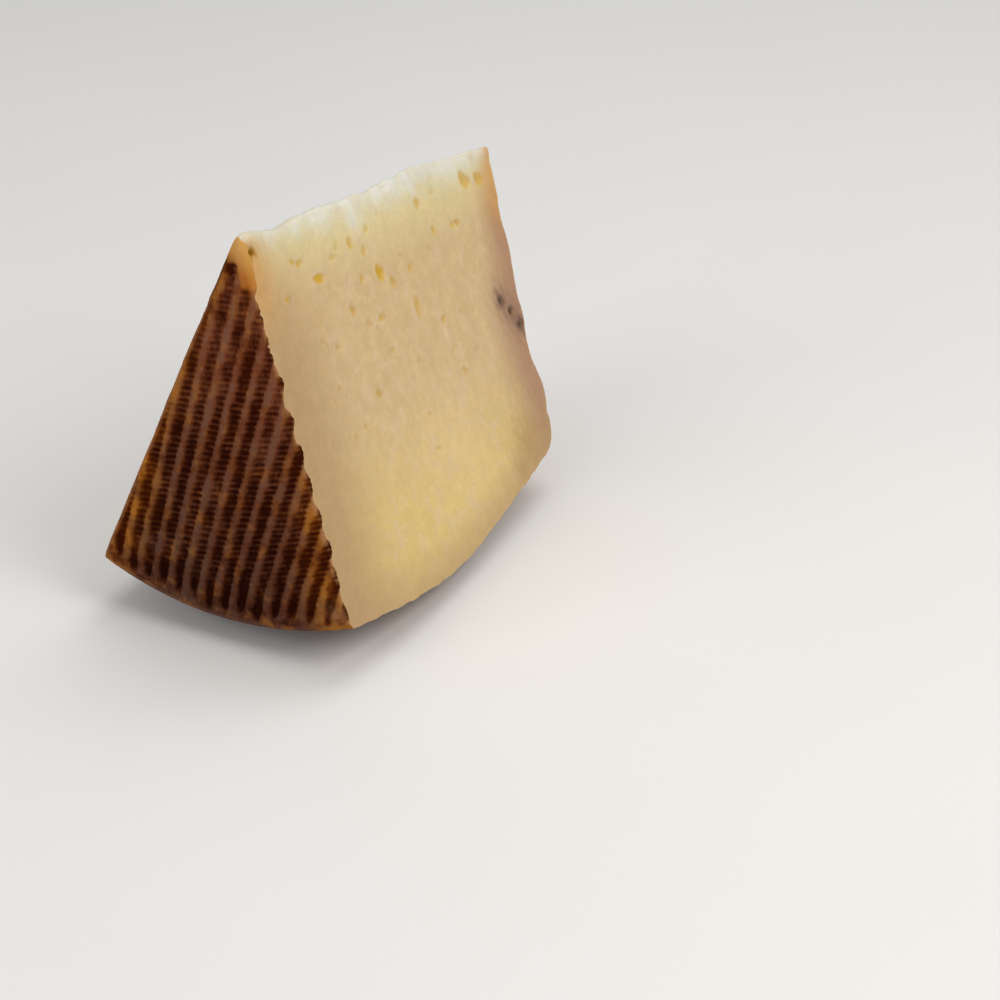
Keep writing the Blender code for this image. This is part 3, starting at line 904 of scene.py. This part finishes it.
def write_attribute(mesh, name, values):
    """One number for each point, or three where the values have three columns."""
    kind, key = ("FLOAT_VECTOR", "vector") if values.ndim == 2 else ("FLOAT", "value")
    attribute = mesh.attributes.new(name, kind, "POINT")
    attribute.data.foreach_set(key, values.astype(np.float32).ravel())


def spots(a, b, places):
    """1 in the middle of each spot, falling off as a bell, with an uneven edge."""
    total = np.zeros_like(a)
    for middle_a, middle_b, radius in places:
        off = np.hypot(a / MM - middle_a, b / MM - middle_b) / radius
        total = np.maximum(total, bell(off * (1.0 + 0.25 * ripple(a, b, 0.002, 61)), 1.0))
    return total


# A point of the ridge turned less than this from straight up belongs to the ridge's rounding
RIDGE_ARC = math.radians(68)
# How far under the cut an eye's wall has its full colour
SUNK_DEPTH = 0.00042


def surface_places(mesh, wheel, paste):
    """Where each point of the wedge lies: on the wheel, under its three faces and by its two cuts.

    A point is on the face that it is nearest to. Its distance from a cut is the one to the cut's
    plane, or over the ridge the one to the ridge's rounding, and what the knife's wander leaves of
    it tells how far the point is sunk in an eye.
    """
    x, y, z = to_wheel(read(mesh.vertices, "co", float, 3), wheel).T
    radius = np.hypot(x, z)
    side_radius = smooth_through(SIDE_OUTLINE, np.clip(y, SIDE_OUTLINE[0][0], SIDE_OUTLINE[-1][0]))
    from_front, from_back, from_side = y - FRONT_AT, back_face(x, z) - y, side_radius - radius
    on_front = from_front < np.minimum(from_back, from_side)
    on_back = ~on_front & (from_back < from_side) & (radius < BACK_OUTLINE[0][0] + 0.001)

    centre_x, centre_z, blunt = ridge_centre(y, wheel)
    off_x, off_z = x - centre_x, z - centre_z
    right = blunt - (off_x * math.cos(wheel.right_cut) + off_z * math.sin(wheel.right_cut))
    left = blunt - (-off_x * math.cos(wheel.left_cut) + off_z * math.sin(wheel.left_cut))
    over_ridge = (off_z > 0) & (np.abs(np.arctan2(off_x, off_z)) < RIDGE_ARC)
    from_cut = np.where(over_ridge, blunt - np.hypot(off_x, off_z), np.minimum(left, right))
    on_right = right < left
    down = np.hypot(x - wheel.cuts_meet_x, z - wheel.cuts_meet_z)
    run = np.maximum(down - blunt / math.tan((wheel.left_cut + wheel.right_cut) / 2), 0.0)
    wander = np.where(on_right, knife_wander(y, run, 1, paste), knife_wander(y, run, -1, paste))
    sunk = np.clip((from_cut - wander - 0.00003) / SUNK_DEPTH, 0.0, 1.0) * ~over_ridge
    return SimpleNamespace(
        x=x, y=y, z=z, radius=radius,
        from_front=from_front, from_back=from_back, from_side=from_side,
        on_front=on_front, on_back=on_back, on_side=~on_front & ~on_back,
        left=left, right=right, from_cut=from_cut, on_right=on_right, down=down, sunk=sunk,
    )


def rind_marks(at, wheel, mat):
    """What the rind's material reads: the place in the mat's pattern, its depth, and what is where."""
    x, y, z = at.x, at.y, at.z
    faces = [at.on_front, at.on_back]
    (front_across, front_along), (back_across, back_along) = (
        mat_place(x, z, face, wheel) for face in (FRONT, BACK)
    )
    around = np.arcsin(np.clip(x / at.radius, -1.0, 1.0)) * wheel.radius
    turn, _ = plait_turn(around, y, mat)
    across = np.select(faces, [front_across, back_across], turn * mat.bundle_pitch)
    along = np.select(faces, [front_along, back_along], y - 0.080)

    by_rim = smooth_step(0.0015, 0.0050, y) * smooth_step(0.1045, 0.1000, y)
    pressed = [at.from_front - rim_fall(x, z, wheel), at.from_back]
    depth = np.select(faces, pressed, 1.4 * at.from_side * by_rim)
    depth = depth + mat.groove_depth * spots(x, z, RIND_SPOTS) * at.on_front
    rim = smooth_step(wheel.radius - 0.0080, wheel.radius - 0.0030, at.radius)

    # The golden band along a cut widens towards the side
    low = smooth_step(-0.040, -0.075, z)
    width = np.where(at.on_right, 0.0022, 0.0040) + np.where(at.on_right, 0.0120, 0.0080) * low
    gilded = smooth_step(1.0, 0.15, at.from_cut / width)
    gilded = gilded * np.clip(0.85 + 0.45 * ripple(x, z, 0.009, 71), 0.0, 1.0)

    # Where a crest meets a cut it has chipped down to the paste
    by_right, by_left = smooth_step(0.0019, 0.0006, at.right), smooth_step(0.0011, 0.0003, at.left)
    crest = smooth_step(0.85, 0.15, depth / mat.groove_depth + 0.35 * ripple(x, z, 0.0028, 72))
    chipped = np.where(at.on_right, by_right, 0.45 * by_left)
    chipped = chipped * np.where(at.on_right, crest, 0.6 + 0.4 * crest) * smooth_step(-0.006, -0.012, z)
    chipped = np.maximum(chipped, (0.10 + 0.32 * crest) * spots(x, z, CORNER_PATCHES))

    # The bare tip is deeper orange the lower it is; by the right cut it is painted less orange and lighter,
    # as painted light where the worn edge rounds into the cut
    orange = 0.92 * np.clip((-z - 0.0004) / 0.0096, 0.0, 1.0) ** 0.8
    blotch = np.maximum(spots(x, z, TIP_BLOTCHES), orange)
    blotch = blotch * (1.0 - 0.3 * smooth_step(0.0026, 0.0002, at.right))
    flat = at.on_front | at.on_back
    return {
        "grain": np.stack([across, along, np.zeros_like(x)], axis=-1) / MM,
        "relief": np.clip(depth / mat.groove_depth, 0.0, 1.3),
        "plaited": at.on_side * smooth_step(0.002, 0.007, y) * smooth_step(0.1040, 0.0975, y),
        "rim": rim * at.on_front,
        "bare": bare_tip(x, z, mat) * flat,
        "gilded": np.clip(gilded, 0.0, 1.0),
        "chipped": chipped * at.on_front,
        "blotch": blotch * flat,
    }


def paste_marks(at, wheel):
    """What the paste's material reads: distances in millimetres, and how strong each mark is."""
    y, down, right = at.y, at.down, at.on_right
    below = down - wheel.cuts_meet_z
    glow = bell(y, 0.0070) * smooth_step(0.0020, 0.0070, down) * smooth_step(0.030, 0.012, down)
    reach = 0.0030 + 0.0040 * smooth_step(0.002, 0.008, down)
    back_glow = bell(at.from_back, reach) * smooth_step(0.026, 0.014, down)
    tan_end = 0.014 + 0.007 * smooth_step(0.022, 0.038, down)
    dry = np.maximum(0.8 * crack_whiteness(y, down), 0.65 * spots(y, below, DRY_PATCHES))

    # The eyes' walls are golden, the most in the listed eyes, but not where there is mould: partly their
    # own colour and partly painted shade in the hollows, stronger the deeper a point is sunk
    pit, mould = spots(y, below, TIP_PITS) * right, spots(y, below, MOULD_SPOTS) * right
    weak = 0.62 - 0.16 * smooth_step(0.018, 0.034, down)
    golden = at.sunk * np.maximum(weak, spots(y, below, GOLDEN_EYES)) * (1.0 - mould)
    return {
        "cut_place": np.stack([y, down, np.where(right, 0.0, 0.2)], axis=-1) / MM,
        "under_rind": np.stack([at.from_front, at.from_back, at.from_side], axis=-1) / MM,
        "from_ridge": down / MM,
        "glow": np.where(right, np.maximum(0.85 * glow, 0.9 * back_glow), 0.6 * glow),
        "tan": smooth_step(tan_end, 0.0015, at.from_back) * smooth_step(0.004, 0.020, down),
        "cracked": dry * right,
        "hollow": np.maximum(golden, 0.45 * pit**0.8),
        "mould": mould,
        "pit": pit**1.3,
        "stain": 0.85 * spots(y, below, STAINS) * right,
        "light": 0.42 * spots(y, below, LIGHT_PATCHES) * right,
        "olive": 0.75 * spots(y, below, OLIVE_PATCHES) * right,
    }


def crack_whiteness(along, down):
    """1 on the dry lips of the ridge's cracks, falling off across them and down them."""
    white = np.zeros_like(along)
    for place, run, slant in RIDGE_CRACKS:
        off = along / MM - place - slant * down / MM - 0.6
        fade = 1.0 - smooth_step(0.5 * run, 1.1 * run, down / MM)
        white = np.maximum(white, fade * bell(off, 1.3))
    return white


def smooth_but_for_borders(mesh):
    """Smooth shading, with sharp edges only where the rind and the paste meet."""
    mesh.shade_smooth()
    corners = read(mesh.loops, "edge_index", np.int32)
    sizes = read(mesh.polygons, "loop_total", np.int32)
    of_corner = np.repeat(read(mesh.polygons, "material_index", np.int32), sizes)
    lowest = np.full(len(mesh.edges), len(mesh.materials))
    highest = np.full(len(mesh.edges), -1)
    np.minimum.at(lowest, corners, of_corner)
    np.maximum.at(highest, corners, of_corner)
    sharp = mesh.attributes.get("sharp_edge") or mesh.attributes.new("sharp_edge", "BOOLEAN", "EDGE")
    sharp.data.foreach_set("value", lowest != highest)


def add_node(tree, kind, inputs=(), output=None, stops=(), **settings):
    """Adds a node, sets its properties, links or sets its inputs, and gives the named output.

    Inputs are a tuple in the node's own order, or a dictionary. With no name, the output is the
    first one in use.
    """
    node = tree.nodes.new("ShaderNode" + kind)
    for name, value in settings.items():
        setattr(node, name, value)
    for key, value in inputs.items() if isinstance(inputs, dict) else enumerate(inputs):
        socket = node.inputs[key]
        if isinstance(value, bpy.types.NodeSocket):
            tree.links.new(value, socket)
        else:
            socket.default_value = (*value, 1.0) if socket.type == "RGBA" else value
    for number, (place, shade) in enumerate(stops):
        elements = node.color_ramp.elements
        stop = elements[number] if number < 2 else elements.new(place)
        stop.position = place
        stop.color = (*shade, 1.0)
    return node.outputs[output] if output else next((each for each in node.outputs if each.enabled), None)


def new_material(name):
    """A material with an empty node tree, and the function that adds nodes to it."""
    material = bpy.data.materials.new(name)
    material.use_nodes = True
    material.node_tree.nodes.clear()
    return material, partial(add_node, material.node_tree)


# Patterns by the width of a patch in millimetres, detail and roughness. In the rind: clouds, mottle,
# spots where the mat slipped, and rust
RIND_PATTERNS = ((6.25, 2.0, 0.5), (1.538, 3.0, 0.5), (2.38, 2.0, 0.5), (4.76, 3.0, 0.65))
# In the paste: clouds, lumps, crumbs, pink patches, and flecks
PASTE_PATTERNS = (
    (11.8, 2.0, 0.5),
    (3.03, 2.0, 0.5),
    (0.625, 2.0, 0.5),
    (4.35, 3.0, 0.5),
    (4.0, 3.0, 0.7),
)
# Fibres of the mat are 0.33 mm wide and 2.5 mm long, and streaks down the cut 1.8 mm and 3.3 mm
FIBRES_PER_MM = (3.0, 0.4, 1.0)
STREAKS_PER_MM = (0.55, 0.30, 1.0)
# How much fat bends light, and the usual shine of the rind where its pattern can't be read
FAT_IOR = 1.45
WAX_SHINE = 0.12


def per_metre(width):
    """The scale of a pattern: how many patches of that width in millimetres lie along a metre."""
    return round(1 / (width * MM))


def moulded_rind(colours):
    """Rind pressed in a plaited grass mat: waxy brown crests, near-black pits, golden by the cuts."""
    material, add = new_material("moulded_rind")
    place = add("TexCoord", output="Object")
    names = ("relief", "plaited", "rim", "bare", "gilded", "blotch", "chipped")
    mark = {name: add("Attribute", output="Fac", attribute_name=name) for name in names}
    grain = add("Attribute", output="Vector", attribute_name="grain")
    clouds, mottle, slipped, rust = (
        add("TexNoise", {"Vector": place, "Scale": per_metre(width), "Detail": fine, "Roughness": rough})
        for width, fine, rough in RIND_PATTERNS
    )
    fibre_place = add("VectorMath", (grain, FIBRES_PER_MM), operation="MULTIPLY")
    fibres = add("TexNoise", {"Vector": fibre_place, "Scale": 1.0, "Detail": 3.0})

    # The mat pressed unevenly, and round the rim it slipped, which leaves dark spots
    depth = mark["relief"]
    for pattern, share in ((clouds, 1.1), (mottle, 0.8), (fibres, 0.5)):
        shift = add("Math", (pattern, -0.5))
        depth = add("Math", (shift, share, depth), operation="MULTIPLY_ADD")
    spotty = add("MapRange", (slipped, 0.38, 0.60, 0.34, 0.0))
    depth = add("Math", (spotty, mark["rim"], depth), operation="MULTIPLY_ADD")
    ribs, straw, gold = (
        add("ValToRGB", (depth,), stops=stops)
        for stops in (
            ((0.08, colours.crest), (0.34, colours.rind), (0.60, colours.thread), (0.95, colours.groove)),
            ((0.05, colours.straw), (0.50, colours.rind), (1.0, colours.groove)),
            ((0.08, colours.golden), (0.50, colours.amber), (1.0, colours.soot)),
        )
    )
    # The bare tip: its own pale rind and orange blotches, painted lighter as painted light where its worn,
    # rounded edge catches the light
    bare = add("Mix", {0: mark["blotch"], 6: colours.tip, 7: colours.blotch}, data_type="RGBA")
    # Rusty patches lie all over, and the rind by the cuts is golden
    rusty = add("MapRange", (rust, 0.50, 0.68, 0.0, 0.50))
    gilt = add("Math", (mark["gilded"], rusty), operation="MAXIMUM")
    # The rind is painted darker from the tip to the rim, 28 mm to 86 mm below the wheel's axis: partly a
    # darker rind low down, partly painted shade where the light falls off towards the rim
    run = add("SeparateXYZ", (grain,), "Y")
    fall = add("MapRange", (run, -86.0, -28.0, 0.60, 1.45))
    base = add("VectorMath", {0: ribs, "Scale": fall}, operation="SCALE")
    layers = ((mark["plaited"], straw), (gilt, gold), (mark["chipped"], colours.chip), (mark["bare"], bare))
    for share, shade in layers:
        base = add("Mix", {0: share, 6: base, 7: shade}, data_type="RGBA")

    # Wax on the crests shines softly; in the pits the shine is painted out, as painted shade of the
    # reflection in the hollows
    rough = add("MapRange", (depth, 0.0, 1.0, 0.44, 0.65))
    shine = add("MapRange", (depth, 0.0, 0.8, 0.20, 0.02))
    dull = add("MapRange", (gilt, 0.0, 1.0, 1.0, 0.2))
    shine = add("Math", (shine, dull), operation="MULTIPLY")
    bump = add("Bump", {"Height": fibres, "Strength": 0.5, "Distance": 0.10 * MM})
    bump = add("Bump", {"Height": mottle, "Strength": 0.5, "Distance": 0.22 * MM, "Normal": bump})
    finish = {
        "Base Color": base,
        "Roughness": rough,
        "IOR": FAT_IOR,
        "Specular IOR Level": shine,
        "Normal": bump,
    }
    shader = add("BsdfPrincipled", finish)
    shader.node.inputs["Specular IOR Level"].default_value = WAX_SHINE
    add("OutputMaterial", (shader,))
    return material


def pressed_paste(colours):
    """Cut paste: matt ivory with a fine crumb, white at the ridge, tan under the rind, gold in its eyes,
    partly painted shade.
    """
    material, add = new_material("pressed_paste")
    place = add("TexCoord", output="Object")
    names = ("from_ridge", "glow", "tan", "hollow", "cracked", "mould", "stain", "olive", "light", "pit")
    mark = {name: add("Attribute", output="Fac", attribute_name=name) for name in names}
    cut_place, under_rind = (
        add("Attribute", output="Vector", attribute_name=name) for name in ("cut_place", "under_rind")
    )
    clouds, lumps, crumbs, pale, flecks = (
        add("TexNoise", {"Vector": place, "Scale": per_metre(width), "Detail": fine, "Roughness": rough})
        for width, fine, rough in PASTE_PATTERNS
    )
    streak_place = add("VectorMath", (cut_place, STREAKS_PER_MM), operation="MULTIPLY")
    streaks = add("TexNoise", {"Vector": streak_place, "Scale": 1.0, "Detail": 1.0})

    # From the ridge down: white, cream, beige and a warmer yellow, as shares of 90 mm
    sway = add("Math", (clouds, 5.0, -2.5), operation="MULTIPLY_ADD")
    depth = add("Math", (mark["from_ridge"], sway))
    share = add("Math", (depth, 90.0), operation="DIVIDE")
    stops = (
        (0.030, colours.dry),
        (0.067, colours.pale),
        (0.115, colours.cream),
        (0.230, colours.paste),
        (0.550, colours.paste),
        (0.850, colours.yellow),
    )
    base = add("ValToRGB", (share,), stops=stops)
    # Cream lumps all over, pink patches clear of the ridge, and pale streaks low on the cut
    patch = add("MapRange", (lumps, 0.48, 0.70, 0.0, 0.36))
    pink = add("MapRange", (pale, 0.52, 0.70, 0.0, 0.48))
    clear = add("MapRange", (mark["from_ridge"], 6.0, 16.0, 0.0, 1.0))
    pink = add("Math", (pink, clear), operation="MULTIPLY")
    streak = add("MapRange", (streaks, 0.66, 0.80, 0.0, 0.14))
    low = add("MapRange", (mark["from_ridge"], 40.0, 60.0, 0.0, 1.0))
    streak = add("Math", (streak, low), operation="MULTIPLY")
    # Tan bands under the side's rind and under the front's, which fades out towards the dry ridge
    under = add("SeparateXYZ", (under_rind,)).node.outputs
    by_side = add("MapRange", (under["Z"], 0.2, 10.5, 0.74, 0.0))
    by_front = add("MapRange", (under["X"], 2.0, 30.0, 0.95, 0.0), interpolation_type="SMOOTHSTEP")
    away = add("MapRange", (depth, 3.0, 32.0, 0.12, 1.0), interpolation_type="SMOOTHSTEP")
    by_front = add("Math", (by_front, away), operation="MULTIPLY")
    layers = (
        (mark["light"], colours.light),
        (patch, colours.cream),
        (pink, colours.blush),
        (streak, colours.ridge),
        (by_front, colours.edge),
        (mark["tan"], colours.back_edge),
        (mark["olive"], colours.olive),
        (by_side, colours.edge),
        (mark["glow"], colours.glow),
        (mark["cracked"], colours.ridge),
        (mark["stain"], colours.stain),
    )
    for share, shade in layers:
        base = add("Mix", {0: share, 6: base, 7: shade}, data_type="RGBA")
    # Crumbs and flecks are lighter or darker by a few hundredths
    crumb_tone = add("MapRange", (crumbs, 0.3, 0.7, 0.955, 1.03))
    fleck_tone = add("MapRange", (flecks, 0.3, 0.7, 0.95, 1.05))
    tone = add("Math", (crumb_tone, fleck_tone), operation="MULTIPLY")
    base = add("VectorMath", {0: base, "Scale": tone}, operation="SCALE")
    # The eyes' gold is partly their walls' own colour and partly painted shade in the hollows
    for name, shade in (("hollow", colours.eye), ("pit", colours.pit), ("mould", colours.mould)):
        base = add("Mix", {0: mark[name], 6: base, 7: shade}, data_type="RGBA")

    # The eyes' walls are smoother, and dirt in the pit doesn't shine
    rough = add("MapRange", (mark["hollow"], 0.0, 0.6, 0.50, 0.40))
    shine = add("MapRange", (mark["pit"], 0.0, 0.5, 0.5, 0.0))
    bump = add("Bump", {"Height": crumbs, "Strength": 0.35, "Distance": 0.15 * MM})
    bump = add("Bump", {"Height": lumps, "Strength": 0.5, "Distance": 0.6 * MM, "Normal": bump})
    # Light goes about 3 mm into fat, red the furthest
    finish = {
        "Base Color": base,
        "Roughness": rough,
        "IOR": FAT_IOR,
        "Specular IOR Level": shine,
        "Subsurface Weight": 0.30,
        "Subsurface Radius": (1.0, 0.62, 0.32),
        "Subsurface Scale": 3.0 * MM,
        "Normal": bump,
    }
    add("OutputMaterial", (add("BsdfPrincipled", finish),))
    return material


def painted_floor(pale):
    """Matt painted board: pale and even, with a faint mottle."""
    material, add = new_material("painted_floor")
    place = add("TexCoord", output="Object")
    mottle = add("TexNoise", {"Vector": place, "Scale": per_metre(111.0), "Detail": 2.0})
    tone = add("MapRange", (mottle, 0.3, 0.7, 0.985, 1.0))
    base = add("VectorMath", {0: pale, "Scale": tone}, operation="SCALE")
    add("OutputMaterial", (add("BsdfPrincipled", {"Base Color": base, "Roughness": 0.7}),))
    return material


class MESH_OT_cheese_wedge(bpy.types.Operator):
    """Make the wedge with its moulded rind, its cut paste and its eyes"""

    bl_idname = "mesh.cheese_wedge"
    bl_label = "Cheese wedge"

    def execute(self, context):
        scene = context.scene
        wheel, mat, paste = scene.cheese_wheel, scene.cheese_mat, scene.cheese_paste
        rind, cut_paste = moulded_rind(scene.cheese_colours), pressed_paste(scene.cheese_colours)
        draw = np.random.default_rng(paste.eye_seed)
        right = scattered_eyes(RIGHT_EYES, paste.small_eyes, draw)
        left = scattered_eyes((), paste.small_eyes + len(RIGHT_EYES), draw)
        wedge = wheel_block(wheel, mat, rind)
        cutters = (
            (front_block(wheel, mat, rind), "INTERSECT"),
            (knife_prism(wheel, paste, cut_paste), "INTERSECT"),
            (eye_hollows("right_eyes", 1, right, wheel, paste, draw, cut_paste), "DIFFERENCE"),
            (eye_hollows("left_eyes", -1, left, wheel, paste, draw, cut_paste), "DIFFERENCE"),
            (resting_surface(rind), "DIFFERENCE"),
        )
        cut_with(wedge, cutters)
        at = surface_places(wedge.data, wheel, paste)
        for name, values in {**rind_marks(at, wheel, mat), **paste_marks(at, wheel)}.items():
            write_attribute(wedge.data, name, values)
        smooth_but_for_borders(wedge.data)
        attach(wedge, "root")
        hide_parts("cheese_wedge")
        return {"FINISHED"}


# The soft square lights: place, size across, watts and colour
LIGHTS = {
    "key": ((0.62, -0.10, 0.62), 0.45, 3.0, "#fffaf2"),
    "fill": ((-0.30, -0.85, 0.45), 0.60, 2.8, "#fafbff"),
    "top": ((0.05, 0.35, 0.80), 0.50, 1.8, "#ffffff"),
}
# The middle of the wedge, which they face
LIT_POINT = (0.0, 0.0, 0.045)
ROOM_LIGHT = 0.42
FLOOR_REACH = 6.0


def add_area_light(name, place, size, watts, code):
    """A soft square light that faces the lit point."""
    data = bpy.data.lights.new(name, "AREA")
    data.size = size
    data.energy = watts
    data.color = srgb(code)
    light = add_to_scene(name, data)
    light.location = place
    towards = np.array(LIT_POINT) - np.array(place)
    flat = math.hypot(towards[0], towards[1])
    light.rotation_euler = (math.atan2(flat, -towards[2]), 0.0, math.atan2(-towards[0], towards[1]))


class SCENE_OT_cheese_stage(bpy.types.Operator):
    """Make the pale floor, the soft studio lights and the camera"""

    bl_idname = "scene.cheese_stage"
    bl_label = "Stage"

    def execute(self, context):
        scene = context.scene
        stage = scene.cheese_stage
        mesh = bpy.data.meshes.new("floor")
        plan = np.array(((-1, -1, 0), (1, -1, 0), (1, 1, 0), (-1, 1, 0)))
        mesh.from_pydata((plan * FLOOR_REACH).tolist(), [], [(0, 1, 2, 3)])
        mesh.materials.append(painted_floor(stage.floor))
        floor = add_to_scene("floor", mesh)

        scene.world = bpy.data.worlds.new("room")
        scene.world.use_nodes = True
        background = scene.world.node_tree.nodes["Background"]
        background.inputs["Color"].default_value = (*stage.room, 1.0)
        background.inputs["Strength"].default_value = ROOM_LIGHT
        for name, light in LIGHTS.items():
            add_area_light(name, *light)

        data = bpy.data.cameras.new("camera")
        data.lens = stage.lens
        data.sensor_width = 36.0
        data.clip_start = 0.01
        scene.camera = add_to_scene("camera", data)
        scene.camera.location = stage.camera_place
        scene.camera.rotation_euler = (math.pi / 2 - stage.elevation, 0.0, stage.azimuth)
        scene.view_settings.view_transform = "Standard"
        return {"FINISHED"}


class VIEW3D_PT_cheese(bpy.types.Panel):
    """Lists the pieces that can be made and their settings."""

    bl_idname = "VIEW3D_PT_cheese"
    bl_label = "Cheese wedge"
    bl_space_type = "VIEW_3D"
    bl_region_type = "UI"
    bl_category = "Cheese"

    def draw(self, context):
        for name in SETTINGS:
            box = self.layout.box()
            box.label(text=name.removeprefix("cheese_").capitalize())
            settings = getattr(context.scene, name)
            for key in settings.__annotations__:
                box.prop(settings, key)
        for operator in OPERATORS:
            self.layout.operator(operator.bl_idname)


SETTINGS = {
    "cheese_wheel": WheelSettings,
    "cheese_mat": MatSettings,
    "cheese_paste": PasteSettings,
    "cheese_colours": WedgeColours,
    "cheese_stage": StageSettings,
}
OPERATORS = (MESH_OT_cheese_wedge, SCENE_OT_cheese_stage)


def register():
    for kind in (*SETTINGS.values(), *OPERATORS, VIEW3D_PT_cheese):
        bpy.utils.register_class(kind)
    for name, kind in SETTINGS.items():
        setattr(bpy.types.Scene, name, PointerProperty(type=kind))


def unregister():
    for name in SETTINGS:
        delattr(bpy.types.Scene, name)
    for kind in (VIEW3D_PT_cheese, *reversed(OPERATORS), *reversed(SETTINGS.values())):
        bpy.utils.unregister_class(kind)


def main():
    register()
    bpy.ops.mesh.cheese_wedge()
    bpy.ops.scene.cheese_stage()


if __name__ == "__main__":
    main()
